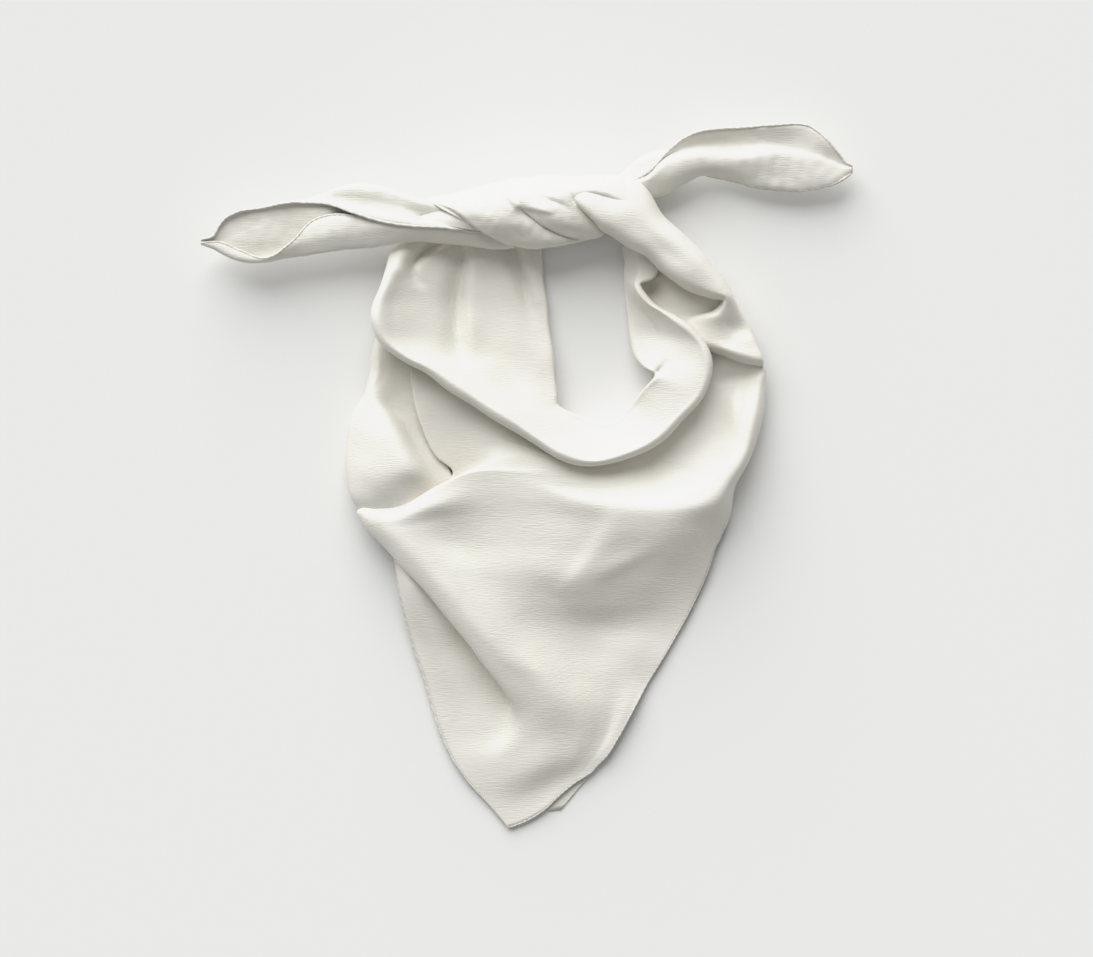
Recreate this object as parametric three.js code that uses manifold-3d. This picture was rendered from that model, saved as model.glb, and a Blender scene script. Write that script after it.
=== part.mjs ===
// A square silk neckerchief, folded on the diagonal into two plies, tied in a
// twisted half knot and laid flat: the bib and its point lie towards -Y, the
// knot towards +Y. Millimetres, +Z up, the origin on the floor under the middle.
import * as THREE from "three";
import { mergeVertices } from "three/addons/utils/BufferGeometryUtils.js";
import Module from "manifold-3d";

const wasm = await Module();
wasm.setup();

// Driving dimensions
const CLOTH = 1.2;
const BACK_PLY = 1.4;
const WOUND_CLOTH = 2.2;
const HEM_RADIUS = 0.9;
const HEM_SLACK = 0.3;
const GAP = 0.35;

// Fineness of the faceted surfaces
const HEM_SIDES = 6;
const HEM_PITCH = 10;
const ROWS_PER_LINE = 2;
const COLUMNS_PER_POINT = 2;
const ROWS_PER_STATION = 2;
const COLLAR_COLUMNS = 10;
const LEFT_TAIL_ROWS = 16;
const RIGHT_TAIL_ROWS = 14;
const TAIL_COLUMNS = 10;
const BAND_ROWS = 19;
const BAND_COLUMNS = 10;
const LOBE_ROWS = 12;
const LOBE_COLUMNS = 9;
const WRAP_TURN_STEPS = 13;
const WRAP_ACROSS_STEPS = 6;
const CORE_STATIONS = 9;
const CORE_SIDES = 12;

// Finishes
const SILK = { color: 0xf1efe8, roughness: 0.5, metalness: 0.0 };
const SILK_INSIDE = { color: 0xe6e3da, roughness: 0.55, metalness: 0.0 };
const HEM_SILK = { color: 0xdedbd2, roughness: 0.6, metalness: 0.0 };

// The neck opening's edge, the crest beside it and the outer edge of the neck
// cloth, station by station from the knot's left, round the front, to its right.
// bow is how late the cloth rises from the opening to the crest.
const COLLAR = [
  { hole: [6.6, 116.5, 4], crest: [-58, 117, 10], edge: [-64, 117, 8], bow: 2.6 },
  { hole: [7, 112, 4], crest: [-62.5, 112, 13], edge: [-67.5, 112, 10], bow: 2.8 },
  { hole: [7.7, 103, 4], crest: [-66, 103, 19], edge: [-69.5, 103, 14], bow: 3.2 },
  { hole: [8.6, 94, 4], crest: [-69.5, 94, 23], edge: [-72.5, 94, 17], bow: 3.4 },
  { hole: [9.8, 85, 4], crest: [-73, 84.5, 25], edge: [-76, 84, 18], bow: 3.4 },
  { hole: [10.8, 76, 4], crest: [-73.5, 76.5, 26], edge: [-76.5, 75, 18], bow: 3.4 },
  { hole: [11.8, 68, 4], crest: [-70.3, 68, 26], edge: [-72.5, 66, 18], bow: 3.4 },
  { hole: [12.6, 61, 4], crest: [-60.3, 60.2, 25.5], edge: [-62, 58, 17], bow: 3.2 },
  { hole: [13.3, 54, 4.5], crest: [-48, 53.8, 25.5], edge: [-50, 51.5, 17], bow: 2.8 },
  { hole: [14, 47, 5], crest: [-35.8, 45.2, 25], edge: [-38, 42.5, 16], bow: 2.2 },
  { hole: [14.5, 41, 6], crest: [-22.8, 36.6, 24.5], edge: [-25, 34, 16], bow: 1.5 },
  { hole: [14.8, 35.5, 8], crest: [-8.8, 28, 24.5], edge: [-11, 25.5, 15], bow: 1.1 },
  { hole: [19, 32.4, 11], crest: [4, 19.4, 24], edge: [2, 17.6, 15], bow: 1.0 },
  { hole: [27, 29.4, 12], crest: [17, 11.4, 23.6], edge: [16, 9.2, 15], bow: 0.95 },
  { hole: [36, 26, 12.5], crest: [32.3, 7.3, 23.4], edge: [32, 5, 15], bow: 0.95 },
  { hole: [44.5, 27, 12.5], crest: [49.4, 11.4, 23.6], edge: [50, 9, 15], bow: 0.95 },
  { hole: [52, 35, 12], crest: [63.2, 18.2, 23.6], edge: [65, 16, 15], bow: 0.95 },
  { hole: [58, 43, 11], crest: [75.8, 30, 23.4], edge: [78, 28.5, 15], bow: 0.95 },
  { hole: [64, 50, 9], crest: [85, 41.5, 23], edge: [87.5, 40.5, 15], bow: 1.0 },
  { hole: [57, 55.5, 6], crest: [87.5, 53, 23], edge: [91.5, 53, 15], bow: 1.1 },
  { hole: [53, 62, 5], crest: [86, 62.5, 22.5], edge: [89.5, 63, 15], bow: 1.4 },
  { hole: [51.5, 70, 5], crest: [80, 70, 22], edge: [83.5, 71.5, 15], bow: 1.5 },
  { hole: [50.4, 79, 5], crest: [69, 78, 21], edge: [72.5, 79.5, 14], bow: 1.5 },
  { hole: [49.6, 88, 5], crest: [58, 85.3, 19], edge: [61.5, 86.5, 13], bow: 1.4 },
  { hole: [49.2, 95, 5], crest: [53.5, 94, 17], edge: [56, 95.5, 12], bow: 1.2 },
  { hole: [48.7, 101, 5], crest: [56, 101.5, 13], edge: [63, 99.8, 10], bow: 1.2 },
  { hole: [48.2, 108, 5], crest: [56, 108.5, 9.5], edge: [65, 105, 7.5], bow: 1.2 },
  { hole: [47.5, 115, 5], crest: [54.5, 115, 7.5], edge: [62, 111, 6], bow: 1.2 },
];
const COLLAR_STRETCHES = {
  left_fall: [0, 9],
  neck_roll: [9, 18],
  right_fall: [18, 27],
};

// The turned-in edge of the neck opening, the shares of the rise at which a section
// is read, and how far the cloth is rounded off and tucked in beyond the crest
const TURN_IN = { reach: 5, height: 1 };
const RISE_SHARES = [0.12, 0.45, 0.75, 0.92];
const ROUND_OFF = { out: 0.68, down: 0.3 };
const TUCK = { back: 1.2, height: 0.6 };

// Creases and soft folds that run down the two inner falls
const COLLAR_FOLDS = [
  { spine: [[-34, 116, -2], [-35.5, 90, -3.5], [-36, 70, -3], [-35, 55, -1]], left: 4, right: 3 },
  { spine: [[-29, 116, 2], [-31, 90, 2.5], [-31, 66, 1]], left: 4, right: 5 },
  { spine: [[-8, 116, -3.5], [-4, 104, -3], [1, 90, -1.5], [4, 74, 0]], left: 4, right: 2.5 },
  { spine: [[-2, 116, 2.5], [3, 100, 2], [6, 84, 0.5]], left: 3, right: 4 },
  { spine: [[-56, 112, -3], [-58, 102, -3], [-50, 94, -1]], left: 3, right: 3 },
];

// Lines across the front ply. Each runs from the left hem over the pleat to the right
// hem: hem, sheet, tuck, edge, ridge, hollow, inner, centre, slope, flank, shoulder and
// corner. Those of the cowl go on from the corner up the shoulder to the side crease.
const COWL_ROWS = {
  underRoll: [[-54, 57, 6], [-58, 58, 8], [-51, 54.5, 8], [-44, 50.5, 8], [-35, 45, 8], [-26, 38, 8],
    [-12, 29, 8], [6, 19, 9], [24, 12.5, 9], [42, 12, 8], [58, 19, 8], [70, 28, 7.5], [76, 35, 7],
    [81, 43, 7], [85, 50, 6.5], [87, 57, 6], [88, 64, 5]],
  valley: [[-53, 42, 7.5], [-57, 42, 10], [-51, 40, 9.5], [-45, 37, 9], [-37, 33, 8.8], [-28, 28, 8.5],
    [-14, 20, 9.2], [4, 11, 11], [24, 4.5, 11.6], [46, 3, 9.6], [65, 10, 7.8], [78, 19, 7.5],
    [84, 26, 7.5], [89, 34, 7], [93, 43, 7], [96, 52, 6], [98, 60, 5]],
  pocket: [[-62, -22, 2.4], [-66, -23, 4], [-58, -19, 5], [-49, -14, 7], [-40, -9, 11], [-30, -3, 15],
    [-16, 4, 16.8], [4, 1.5, 17.4], [26, -5, 18], [50, -6, 18], [78, -5.5, 18], [90, -0.5, 18.4],
    [97, 6.5, 18], [102.5, 17, 17], [106, 30, 15.5], [108, 45, 12.6], [111.5, 57, 7]],
  lip: [[-80, -20, 6], [-82, -19.5, 7.5], [-83.3, -18.6, 10], [-83.8, -17.4, 12.6], [-76.5, -17.6, 15],
    [-67, -18, 17.2], [-52, -11.6, 19.6], [-31, -0.5, 19.8], [0, -1, 18.8], [30, -8, 19.4],
    [66, -9, 20], [91.5, -4.5, 20.4], [98.5, 3, 20.6], [105, 14, 19.6], [109, 29, 17.6],
    [111, 44, 14.4], [113.5, 56, 8]],
  crest: [[-77, -24, 5], [-79.2, -23.5, 7], [-81.2, -22.5, 9.5], [-82.5, -20.8, 13],
    [-74.5, -21.5, 17.5], [-64, -21, 20], [-46, -14.5, 22], [-22, -7.5, 21.6], [8, -9, 21],
    [40, -16, 22], [74, -17, 22.4], [94, -12.5, 20.2], [101, -1.5, 19], [108.5, 11, 17],
    [113, 27, 15.2], [115, 43, 12.8], [116.5, 54.5, 8]],
  brow: [[-70, -31, 3], [-71.5, -29.8, 5], [-74, -28.4, 8], [-79.3, -26, 12], [-71, -26, 18],
    [-58, -25.5, 20.6], [-38, -21, 19.4], [-12, -18, 18.8], [16, -20, 20.2], [46, -26, 20.6],
    [76, -26.5, 17], [98.5, -23, 5], [104, -4, 6.5], [111.5, 12, 8], [117.5, 30, 8], [118.8, 43, 7.5],
    [118.8, 52.5, 6.5]],
};
const FACE_ROWS = {
  chest: [[-66, -42, 2.6], [-63, -41.5, 7], [-62, -39.5, 9], [-70, -36, 13.5], [-62, -35, 18.6],
    [-50, -34, 19.6], [-33, -33, 17.4], [-10, -33, 17], [15, -34, 18.8], [44, -37.5, 16.8],
    [73, -37, 11.4], [94.3, -35, 3.4]],
  breast: [[-64, -54, 2.6], [-58, -54.5, 8], [-51, -53.5, 9.5], [-58.5, -48.5, 14.5],
    [-50.5, -47.5, 19], [-39, -47.5, 18.8], [-22, -48, 16.4], [-2, -48, 16.4], [19, -49, 16],
    [43, -50.5, 11], [68, -50, 6.2], [88.5, -51.5, 3]],
  waist: [[-60.5, -71, 2.6], [-52, -71, 7.5], [-42, -68, 8.6], [-45.8, -62.3, 14.5],
    [-37.5, -61.5, 18.8], [-27, -61.5, 18.2], [-11, -62, 14.8], [8, -62, 11.4], [26, -62.5, 6.6],
    [46, -62.5, 3.4], [65, -63, 2.8], [82.2, -65, 2.8]],
  middle: [[-56.5, -86, 2.6], [-46, -86.5, 6], [-34.5, -82.5, 7], [-34, -77, 13.5], [-26, -76, 18],
    [-16, -75.5, 17], [-2, -75, 12.4], [13, -75, 7], [28, -75, 3.4], [44, -75, 3], [60, -75.5, 3.4],
    [75, -78.5, 2.8]],
  hip: [[-52, -99, 2.6], [-41, -100.5, 4.4], [-28, -96.5, 4.6], [-22.8, -91, 12.5], [-14.5, -89.5, 17],
    [-6, -88.5, 16.6], [6, -87.5, 13], [19, -87, 8.8], [32, -87, 5.6], [45, -87, 5], [57, -88, 4.8],
    [68, -90.5, 2.8]],
  wrist: [[-43.5, -127, 2.6], [-32, -128, 6.4], [-12, -123.5, 5.6], [-2, -118, 8], [7, -113.5, 13],
    [14, -112.5, 14], [22, -112, 13], [29, -112, 10.6], [36, -113, 7.6], [43, -114, 5],
    [49, -115.5, 3.4], [52.8, -117, 4]],
  narrow: [[-38, -139.5, 2.6], [-28, -140, 8], [-13, -138.5, 12], [0, -132.5, 10.8], [10, -128, 10.4],
    [18, -126.5, 10.6], [26, -126, 9.8], [31, -126, 8.4], [36, -127, 6], [40, -128, 3.8],
    [43.5, -129, 3.4], [46, -129.5, 4.6]],
  point: [[-30, -151.5, 2.6], [-22, -152.5, 4.6], [-10, -152, 7], [1, -147.5, 8.6], [10, -143, 7.6],
    [17, -140.5, 6.4], [23, -139.5, 5], [27, -139, 4.2], [31, -138.5, 3.4], [34.5, -138.5, 3],
    [37.5, -138.5, 3.4], [40, -139.3, 4]],
  hemLine: [[-9, -175.5, 2], [-6, -174.5, 2.1], [-2, -173, 2.2], [2, -171, 2.4], [6, -168.5, 2.6],
    [10, -165.5, 2.8], [14, -161.5, 3], [19, -157, 3], [24, -153, 3], [28, -150.5, 3], [31, -148.5, 3],
    [33, -147, 3]],
};

// Where the shoulder's cloth is tucked in under its outer edge
const SHOULDER_TUCK = [
  [101, -2, 2.6], [107, 14, 2.6], [112.5, 32, 2.6], [113.5, 44, 3], [113, 52, 3.4],
];

// The side lobe left of the neck panel, section by section towards the point
const SIDE_LOBE = [
  { under: [-70, 72, 2.6], rim: [-74, 72, 4], brow: [-71.5, 72, 6], crest: [-67, 71, 6],
    slope: [-61, 69, 5], end: [-54, 66, 4] },
  { under: [-73, 61, 2.6], rim: [-77.3, 61, 4], brow: [-74.5, 61, 7], crest: [-70, 60, 6.5],
    slope: [-63, 57.5, 4.5], end: [-53, 54, 4] },
  { under: [-74, 51, 2.6], rim: [-78, 51, 4.5], brow: [-75, 50.5, 8], crest: [-71, 49.5, 7],
    slope: [-63, 46, 4.5], end: [-51, 40, 4] },
  { under: [-76, 42, 2.6], rim: [-80.5, 41.5, 6], brow: [-79, 41, 9.5], crest: [-75.5, 39.5, 11],
    slope: [-66, 34, 6.5], end: [-50, 27, 4] },
  { under: [-80, 31.5, 2.6], rim: [-86.3, 31.5, 7], brow: [-81, 31, 12], crest: [-70.5, 30, 14.6],
    slope: [-61, 25, 8], end: [-47, 17, 4.4] },
  { under: [-82, 15, 2.6], rim: [-89.2, 15, 8.5], brow: [-81, 15.5, 15.5], crest: [-65, 17, 18.4],
    slope: [-55, 12, 10], end: [-41, 7, 5] },
  { under: [-82, -1, 2.6], rim: [-89.3, -1, 9], brow: [-79, -0.5, 18], crest: [-59, 3, 20],
    slope: [-49, 1, 11], end: [-37, -2, 5] },
  { under: [-81, -11, 2.6], rim: [-87.2, -11, 10], brow: [-77, -10, 16.6], crest: [-57, -5, 17],
    slope: [-48, -4.5, 10], end: [-39, -5.5, 5] },
  { under: [-79, -17, 3], rim: [-83, -17, 8], brow: [-75.5, -19, 12.5], crest: [-60, -17.5, 14],
    slope: [-52, -14, 13], end: [-45, -10.5, 12] },
];

// The band from the knot down the right side, round the dark pocket's end and
// over the shoulder to the side crease
const RIGHT_BAND = [
  { pocket: [33, 124, 9], lower: [29, 124, 16], brow: [26, 130, 23], crest: [20, 137, 23],
    outer: [15, 145, 14], tuck: [15, 147, 8] },
  { pocket: [45, 125, 11], lower: [40, 120, 18], brow: [39, 123.5, 27.5], crest: [37, 135, 31],
    outer: [36, 148.5, 20], tuck: [35, 147, 11] },
  { pocket: [57, 119, 11], lower: [51, 113.5, 17], brow: [52, 117, 26.5], crest: [54, 130, 29],
    outer: [55.5, 145.5, 17], tuck: [54, 143, 8] },
  { pocket: [66, 113, 10], lower: [60, 108.5, 16], brow: [62, 111.5, 25.5], crest: [66, 121, 27.5],
    outer: [68.8, 128.3, 15], tuck: [66, 124.5, 5] },
  { pocket: [76, 105, 7], lower: [69.5, 99.5, 15.5], brow: [71.5, 102.3, 24.5], crest: [79, 111, 26],
    outer: [83.5, 115, 14], tuck: [79, 111.5, 4] },
  { pocket: [84, 99, 4.5], lower: [80, 92.5, 15.5], brow: [81.5, 95.3, 24], crest: [89, 101.5, 24.5],
    outer: [93.5, 103, 13], tuck: [88, 99.5, 3] },
  { pocket: [88, 94, 4.5], lower: [91, 89, 16], brow: [92, 91.5, 24], crest: [97, 93.5, 22.5],
    outer: [100.8, 92, 13], tuck: [95, 91, 3] },
  { pocket: [87, 90, 4.5], lower: [97.5, 88, 17], brow: [98, 88.5, 22.5], crest: [101.5, 88, 20.5],
    outer: [104, 86, 13], tuck: [98, 85, 3] },
  { pocket: [81, 87, 4.5], lower: [94, 81, 17.5], brow: [95.5, 80.5, 21], crest: [102, 79.5, 19],
    outer: [107.5, 79.5, 12], tuck: [101, 78, 3] },
  { pocket: [72, 84.5, 5], lower: [84, 79, 15.5], brow: [87, 76.5, 18.5], crest: [99, 73, 17.5],
    outer: [111, 73, 12], tuck: [104, 72, 3] },
  { pocket: [65, 81, 6], lower: [78, 75, 12], brow: [84, 71.5, 15.5], crest: [99, 67, 20.5],
    outer: [114.3, 65, 14], tuck: [108, 65.5, 4] },
  { pocket: [67, 77, 6], lower: [80, 70.5, 11], brow: [86, 67, 14], crest: [99, 62.5, 20],
    outer: [116.8, 58, 15.5], tuck: [110, 61.5, 6] },
  { pocket: [70, 73, 6], lower: [82, 67, 9.5], brow: [88, 63.5, 11], crest: [98, 58.5, 13.5],
    outer: [116, 54.2, 13], tuck: [111, 58, 8] },
];

// Half width and height of the knot under its wraps, along X
const KNOT = [
  { x: -52, y: 127, across: 5, up: 5 },
  { x: -40, y: 128, across: 9, up: 9 },
  { x: -20, y: 129.5, across: 12.5, up: 11.5 },
  { x: 0, y: 131, across: 14, up: 12.5 },
  { x: 25, y: 132.5, across: 12.5, up: 12 },
  { x: 44, y: 133, across: 11, up: 10 },
  { x: 54, y: 133, across: 6, up: 6 },
];
const KNOT_AXIS_HEIGHT = 15.5;
const KNOT_WRAPS = {
  left: { top: -41, bottom: 11, half: 17.5, lift: 1.2, puff: 2.9 },
  middle: { top: -8, bottom: 34, half: 14.5, lift: 1.0, puff: 2.7 },
};
const WRAP_TURN = [-55, 232];
const WRAP_FLATNESS = 0.92;
const CORE_POINT = 3;

// The left tail, a rolled channel that opens towards its tip
const LEFT_TAIL = [
  { x: -161.6, backHem: [117, 24], upper: [117.5, 23], base: [116, 22], lower: [114.5, 23],
    frontHem: [115, 24] },
  { x: -153, backHem: [122.5, 22.5], upper: [122.8, 20], base: [116.5, 18], lower: [110.8, 20],
    frontHem: [111, 22] },
  { x: -143, backHem: [131, 22.5], upper: [131.5, 19], base: [119, 16.5], lower: [107, 19],
    frontHem: [107.3, 22] },
  { x: -130, backHem: [133.5, 23], upper: [134.2, 19], base: [121, 15.5], lower: [106.8, 17],
    frontHem: [107.5, 22] },
  { x: -115, backHem: [135.5, 24], upper: [137, 19], base: [123, 14], lower: [109, 16],
    frontHem: [115, 23] },
  { x: -100, backHem: [134, 26], upper: [141.5, 19], base: [126, 13], lower: [111, 15],
    frontHem: [120, 24.5] },
  { x: -85, backHem: [130, 28], upper: [144.5, 19], base: [128, 12], lower: [113, 15],
    frontHem: [121.5, 25.5] },
  { x: -70, backHem: [126.5, 29], upper: [143, 19], base: [128, 12], lower: [114.5, 15],
    frontHem: [122.5, 26] },
  { x: -57, backHem: [124.8, 28], upper: [138, 19], base: [127.5, 12], lower: [117, 15],
    frontHem: [122.7, 25.5] },
  { x: -44, backHem: [124.6, 26.5], upper: [131, 19], base: [124, 12], lower: [116.3, 14],
    frontHem: [122.3, 24] },
  { x: -31, backHem: [124, 24], upper: [126.8, 18], base: [121.5, 11], lower: [115, 13],
    frontHem: [121.6, 22] },
];

// The right tail, a flat leaf whose lower flap folds over its inner face
const RIGHT_TAIL = [
  { x: 50, under: [146, 9], lower: [144, 11], bulge: [146, 14], ridge: [148, 14], valley: [150, 12],
    hem: [152, 10] },
  { x: 60, under: [146, 9], lower: [140.5, 11], bulge: [143, 15], ridge: [149, 18], valley: [152, 14],
    hem: [153, 15] },
  { x: 72, under: [152, 8], lower: [141.5, 10], bulge: [149, 17], ridge: [158.5, 18], valley: [161, 13],
    hem: [163, 15] },
  { x: 88, under: [154, 7.5], lower: [149, 9], bulge: [153, 16], ridge: [160.5, 17], valley: [165, 11],
    hem: [170.5, 15] },
  { x: 106, under: [147, 7.6], lower: [146, 9], bulge: [150, 14], ridge: [158.5, 16], valley: [164, 10],
    hem: [172.4, 14] },
  { x: 124, under: [142.5, 7.8], lower: [142, 9], bulge: [148, 12], ridge: [160, 14], valley: [165, 10],
    hem: [173.8, 14] },
  { x: 140, under: [142.5, 8.6], lower: [142, 10], bulge: [148, 12], ridge: [158, 13],
    valley: [162, 11], hem: [172.3, 14] },
  { x: 151, under: [145.5, 9.8], lower: [145, 11], bulge: [149, 12.5], ridge: [155, 13],
    valley: [158, 12], hem: [164, 14] },
  { x: 161.7, under: [150.5, 11.4], lower: [150.8, 12], bulge: [152, 13], ridge: [153, 13.2],
    valley: [154, 13], hem: [155, 13] },
];

// The back ply's outline, flat on the floor
const BACK_OUTLINE = [
  [-52, 46], [-60, 20], [-68, 0], [-70, -20], [-64, -42], [-60, -66], [-51, -98], [-40, -130],
  [-28, -150], [-14, -166], [-6, -171], [6, -166.5], [12, -163.5], [17, -166.5], [24, -156.5],
  [34, -145.5], [46, -126], [60, -101], [74, -77], [88, -49], [96, -28], [101, -6], [110, 14],
  [114, 34], [112, 50], [100, 56], [88, 52], [80, 40], [66, 26], [50, 17], [34, 15], [16, 21],
  [-4, 33], [-26, 42],
];

function vector([x, y, z]) {
  return new THREE.Vector3(x, y, z);
}

function smoothCurve(points) {
  return new THREE.CatmullRomCurve3(points, false, "centripetal");
}

function curvePoints(points, count) {
  const curve = smoothCurve(points);
  return Array.from({ length: count }, (_, index) => curve.getPoint(index / (count - 1)));
}

// A surface through rows of points that all have the same columns
function surface(rows, rowCount, columnCount) {
  const columns = rows[0].map((_, column) => curvePoints(rows.map((row) => row[column]), rowCount));
  return Array.from({ length: rowCount }, (_, index) =>
    curvePoints(columns.map((column) => column[index]), columnCount));
}

// The nearest place on a fold's spine, in plan: its signed distance and its height
function nearestOnSpine(point, spine) {
  let best = { distance: Infinity };
  for (let index = 0; index < spine.length - 1; index += 1) {
    const [ax, ay, az] = spine[index];
    const [bx, by, bz] = spine[index + 1];
    const length = Math.hypot(bx - ax, by - ay);
    const along = ((point.x - ax) * (bx - ax) + (point.y - ay) * (by - ay)) / length ** 2;
    const share = THREE.MathUtils.clamp(along, 0, 1);
    const side = new THREE.Vector2(-(by - ay) / length, (bx - ax) / length);
    const away = new THREE.Vector2(point.x - ax - share * (bx - ax), point.y - ay - share * (by - ay));
    if (away.length() < best.distance) {
      const signed = away.dot(side) < 0 ? -away.length() : away.length();
      best = { distance: away.length(), signed, height: THREE.MathUtils.lerp(az, bz, share) };
    }
  }
  return best;
}

// Raises or sinks the surface along a spine, softly to either side
function addFold(grid, { spine, left, right }) {
  for (const point of grid.flat()) {
    const near = nearestOnSpine(point, spine);
    const width = near.signed > 0 ? left : right;
    point.z += near.height * Math.exp(-((near.signed / width) ** 2));
  }
}

function surfaceNormals(grid) {
  const lastRow = grid.length - 1;
  const lastColumn = grid[0].length - 1;
  return grid.map((row, i) => row.map((_, j) => {
    const down = grid[Math.min(i + 1, lastRow)][j].clone().sub(grid[Math.max(i - 1, 0)][j]);
    const across = grid[i][Math.min(j + 1, lastColumn)].clone().sub(grid[i][Math.max(j - 1, 0)]);
    return down.cross(across).normalize();
  }));
}

// Grows a surface past its own edges, so that a cut made with it leaves a gap
function widened(grid, reach) {
  const lastRow = grid.length - 1;
  const lastColumn = grid[0].length - 1;
  const moved = (edge, inner) => edge.clone().add(edge.clone().sub(inner).setLength(reach));
  return grid.map((row, i) => row.map((point, j) => {
    let result = point.clone();
    if (j === 0) result = moved(result, row[1]);
    if (j === lastColumn) result = moved(result, row[lastColumn - 1]);
    if (i === 0) result = moved(result, grid[1][j]);
    if (i === lastRow) result = moved(result, grid[lastRow - 1][j]);
    return result;
  }));
}

// Draws the two end rows in by half a gap, so that stretches of one cloth clear each other
function drawnIn(grid) {
  const toInner = (row, inner) =>
    row.map((point, j) => point.clone().add(inner[j].clone().sub(point).setLength(GAP / 2)));
  return [toInner(grid[0], grid[1]), ...grid.slice(1, -1), toInner(grid.at(-1), grid.at(-2))];
}

function signedVolume(positions, triangles) {
  const corner = (index) => vector(positions.slice(3 * index, 3 * index + 3));
  let volume = 0;
  for (let index = 0; index < triangles.length; index += 3) {
    const [a, b, c] = triangles.slice(index, index + 3).map(corner);
    volume += a.dot(b.cross(c)) / 6;
  }
  return volume;
}

function closedGeometry(positions, triangles) {
  if (signedVolume(positions, triangles) < 0) {
    triangles.reverse();
  }
  const geometry = new THREE.BufferGeometry();
  geometry.setAttribute("position", new THREE.Float32BufferAttribute(positions, 3));
  geometry.setIndex(triangles);
  return geometry;
}

// A closed wall of even thickness on both sides of the kept cells of a surface
function wall(grid, thickness, isKept = () => true) {
  const rowCount = grid.length;
  const columnCount = grid[0].length;
  const normals = surfaceNormals(grid);
  const positions = [];
  for (const side of [0.5, -0.5]) {
    grid.forEach((row, i) => row.forEach((point, j) => {
      positions.push(...point.clone().addScaledVector(normals[i][j], side * thickness).toArray());
    }));
  }
  const front = (i, j) => i * columnCount + j;
  const back = (i, j) => front(i, j) + rowCount * columnCount;
  const isCloth = (i, j) =>
    i >= 0 && j >= 0 && i < rowCount - 1 && j < columnCount - 1 && isKept(i, j);
  const triangles = [];
  const quad = (a, b, c, d) => triangles.push(a, b, c, a, c, d);
  for (let i = 0; i < rowCount - 1; i += 1) {
    for (let j = 0; j < columnCount - 1; j += 1) {
      if (!isCloth(i, j)) continue;
      quad(front(i, j), front(i + 1, j), front(i + 1, j + 1), front(i, j + 1));
      quad(back(i, j), back(i, j + 1), back(i + 1, j + 1), back(i + 1, j));
      if (!isCloth(i, j - 1)) quad(front(i, j), back(i, j), back(i + 1, j), front(i + 1, j));
      if (!isCloth(i, j + 1)) {
        quad(front(i, j + 1), front(i + 1, j + 1), back(i + 1, j + 1), back(i, j + 1));
      }
      if (!isCloth(i - 1, j)) quad(front(i, j), front(i, j + 1), back(i, j + 1), back(i, j));
      if (!isCloth(i + 1, j)) {
        quad(front(i + 1, j), back(i + 1, j), back(i + 1, j + 1), front(i + 1, j + 1));
      }
    }
  }
  return closedGeometry(positions, triangles);
}

function toSolid(geometry) {
  const bare = geometry.clone();
  bare.deleteAttribute("normal");
  bare.deleteAttribute("uv");
  const merged = mergeVertices(bare, 1e-4);
  return new wasm.Manifold(new wasm.Mesh({
    numProp: 3,
    vertProperties: new Float32Array(merged.attributes.position.array),
    triVerts: new Uint32Array(merged.index.array),
  }));
}

function toGeometry(solid) {
  const { vertProperties, triVerts } = solid.getMesh();
  const geometry = new THREE.BufferGeometry();
  geometry.setAttribute("position", new THREE.Float32BufferAttribute(vertProperties, 3));
  geometry.setIndex(Array.from(triVerts));
  return geometry;
}

// Cuts a body back to clear its neighbours and keeps its main piece
function clearOf(solid, neighbours) {
  const rest = neighbours.reduce((body, neighbour) => body.subtract(neighbour), solid);
  const bodies = rest.decompose();
  return bodies.reduce((largest, body) => (body.volume() > largest.volume() ? body : largest));
}

function collarSurface([first, last]) {
  const rows = COLLAR.map(({ hole, crest, edge, bow }) => {
    const start = vector(hole);
    const top = vector(crest);
    const outer = vector(edge);
    const between = (share) => {
      const point = start.clone().lerp(top, share);
      return point.setZ(THREE.MathUtils.lerp(start.z, top.z, share ** bow));
    };
    const inward = top.clone().sub(start).setZ(0).normalize();
    const turned = start.clone().addScaledVector(inward, TURN_IN.reach).setZ(TURN_IN.height);
    const roundOff = top.clone().lerp(outer, ROUND_OFF.out);
    roundOff.z = THREE.MathUtils.lerp(top.z, outer.z, ROUND_OFF.down);
    const tuck = outer.clone().lerp(top, TUCK.back).setZ(outer.z * TUCK.height);
    return [turned, start, ...RISE_SHARES.map(between), top, roundOff, outer, tuck];
  });
  const grid = surface(rows, (COLLAR.length - 1) * ROWS_PER_STATION + 1, COLLAR_COLUMNS);
  COLLAR_FOLDS.forEach((fold) => addFold(grid, fold));
  return drawnIn(grid.slice(first * ROWS_PER_STATION, last * ROWS_PER_STATION + 1));
}

function bibFrontSurface() {
  const faceRows = Object.values(FACE_ROWS).map((row) => [...row, ...SHOULDER_TUCK]);
  const rows = [...Object.values(COWL_ROWS), ...faceRows].map((row) => row.map(vector));
  const rowCount = (rows.length - 1) * ROWS_PER_LINE + 1;
  const columnCount = (rows[0].length - 1) * COLUMNS_PER_POINT + 1;
  return surface(rows, rowCount, columnCount);
}

// A surface through a table's sections, each a row of named places
function sectionSurface(sections, rowCount, columnCount) {
  const rows = sections.map((section) => Object.values(section).map(vector));
  return surface(rows, rowCount, columnCount);
}

function knotSection(x) {
  const next = Math.max(1, KNOT.findIndex((section) => section.x >= x));
  const from = KNOT[next - 1];
  const to = KNOT[next];
  const share = THREE.MathUtils.smoothstep(x, from.x, to.x);
  const mix = (name) => THREE.MathUtils.lerp(from[name], to[name], share);
  return { y: mix("y"), across: mix("across"), up: mix("up") };
}

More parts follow.
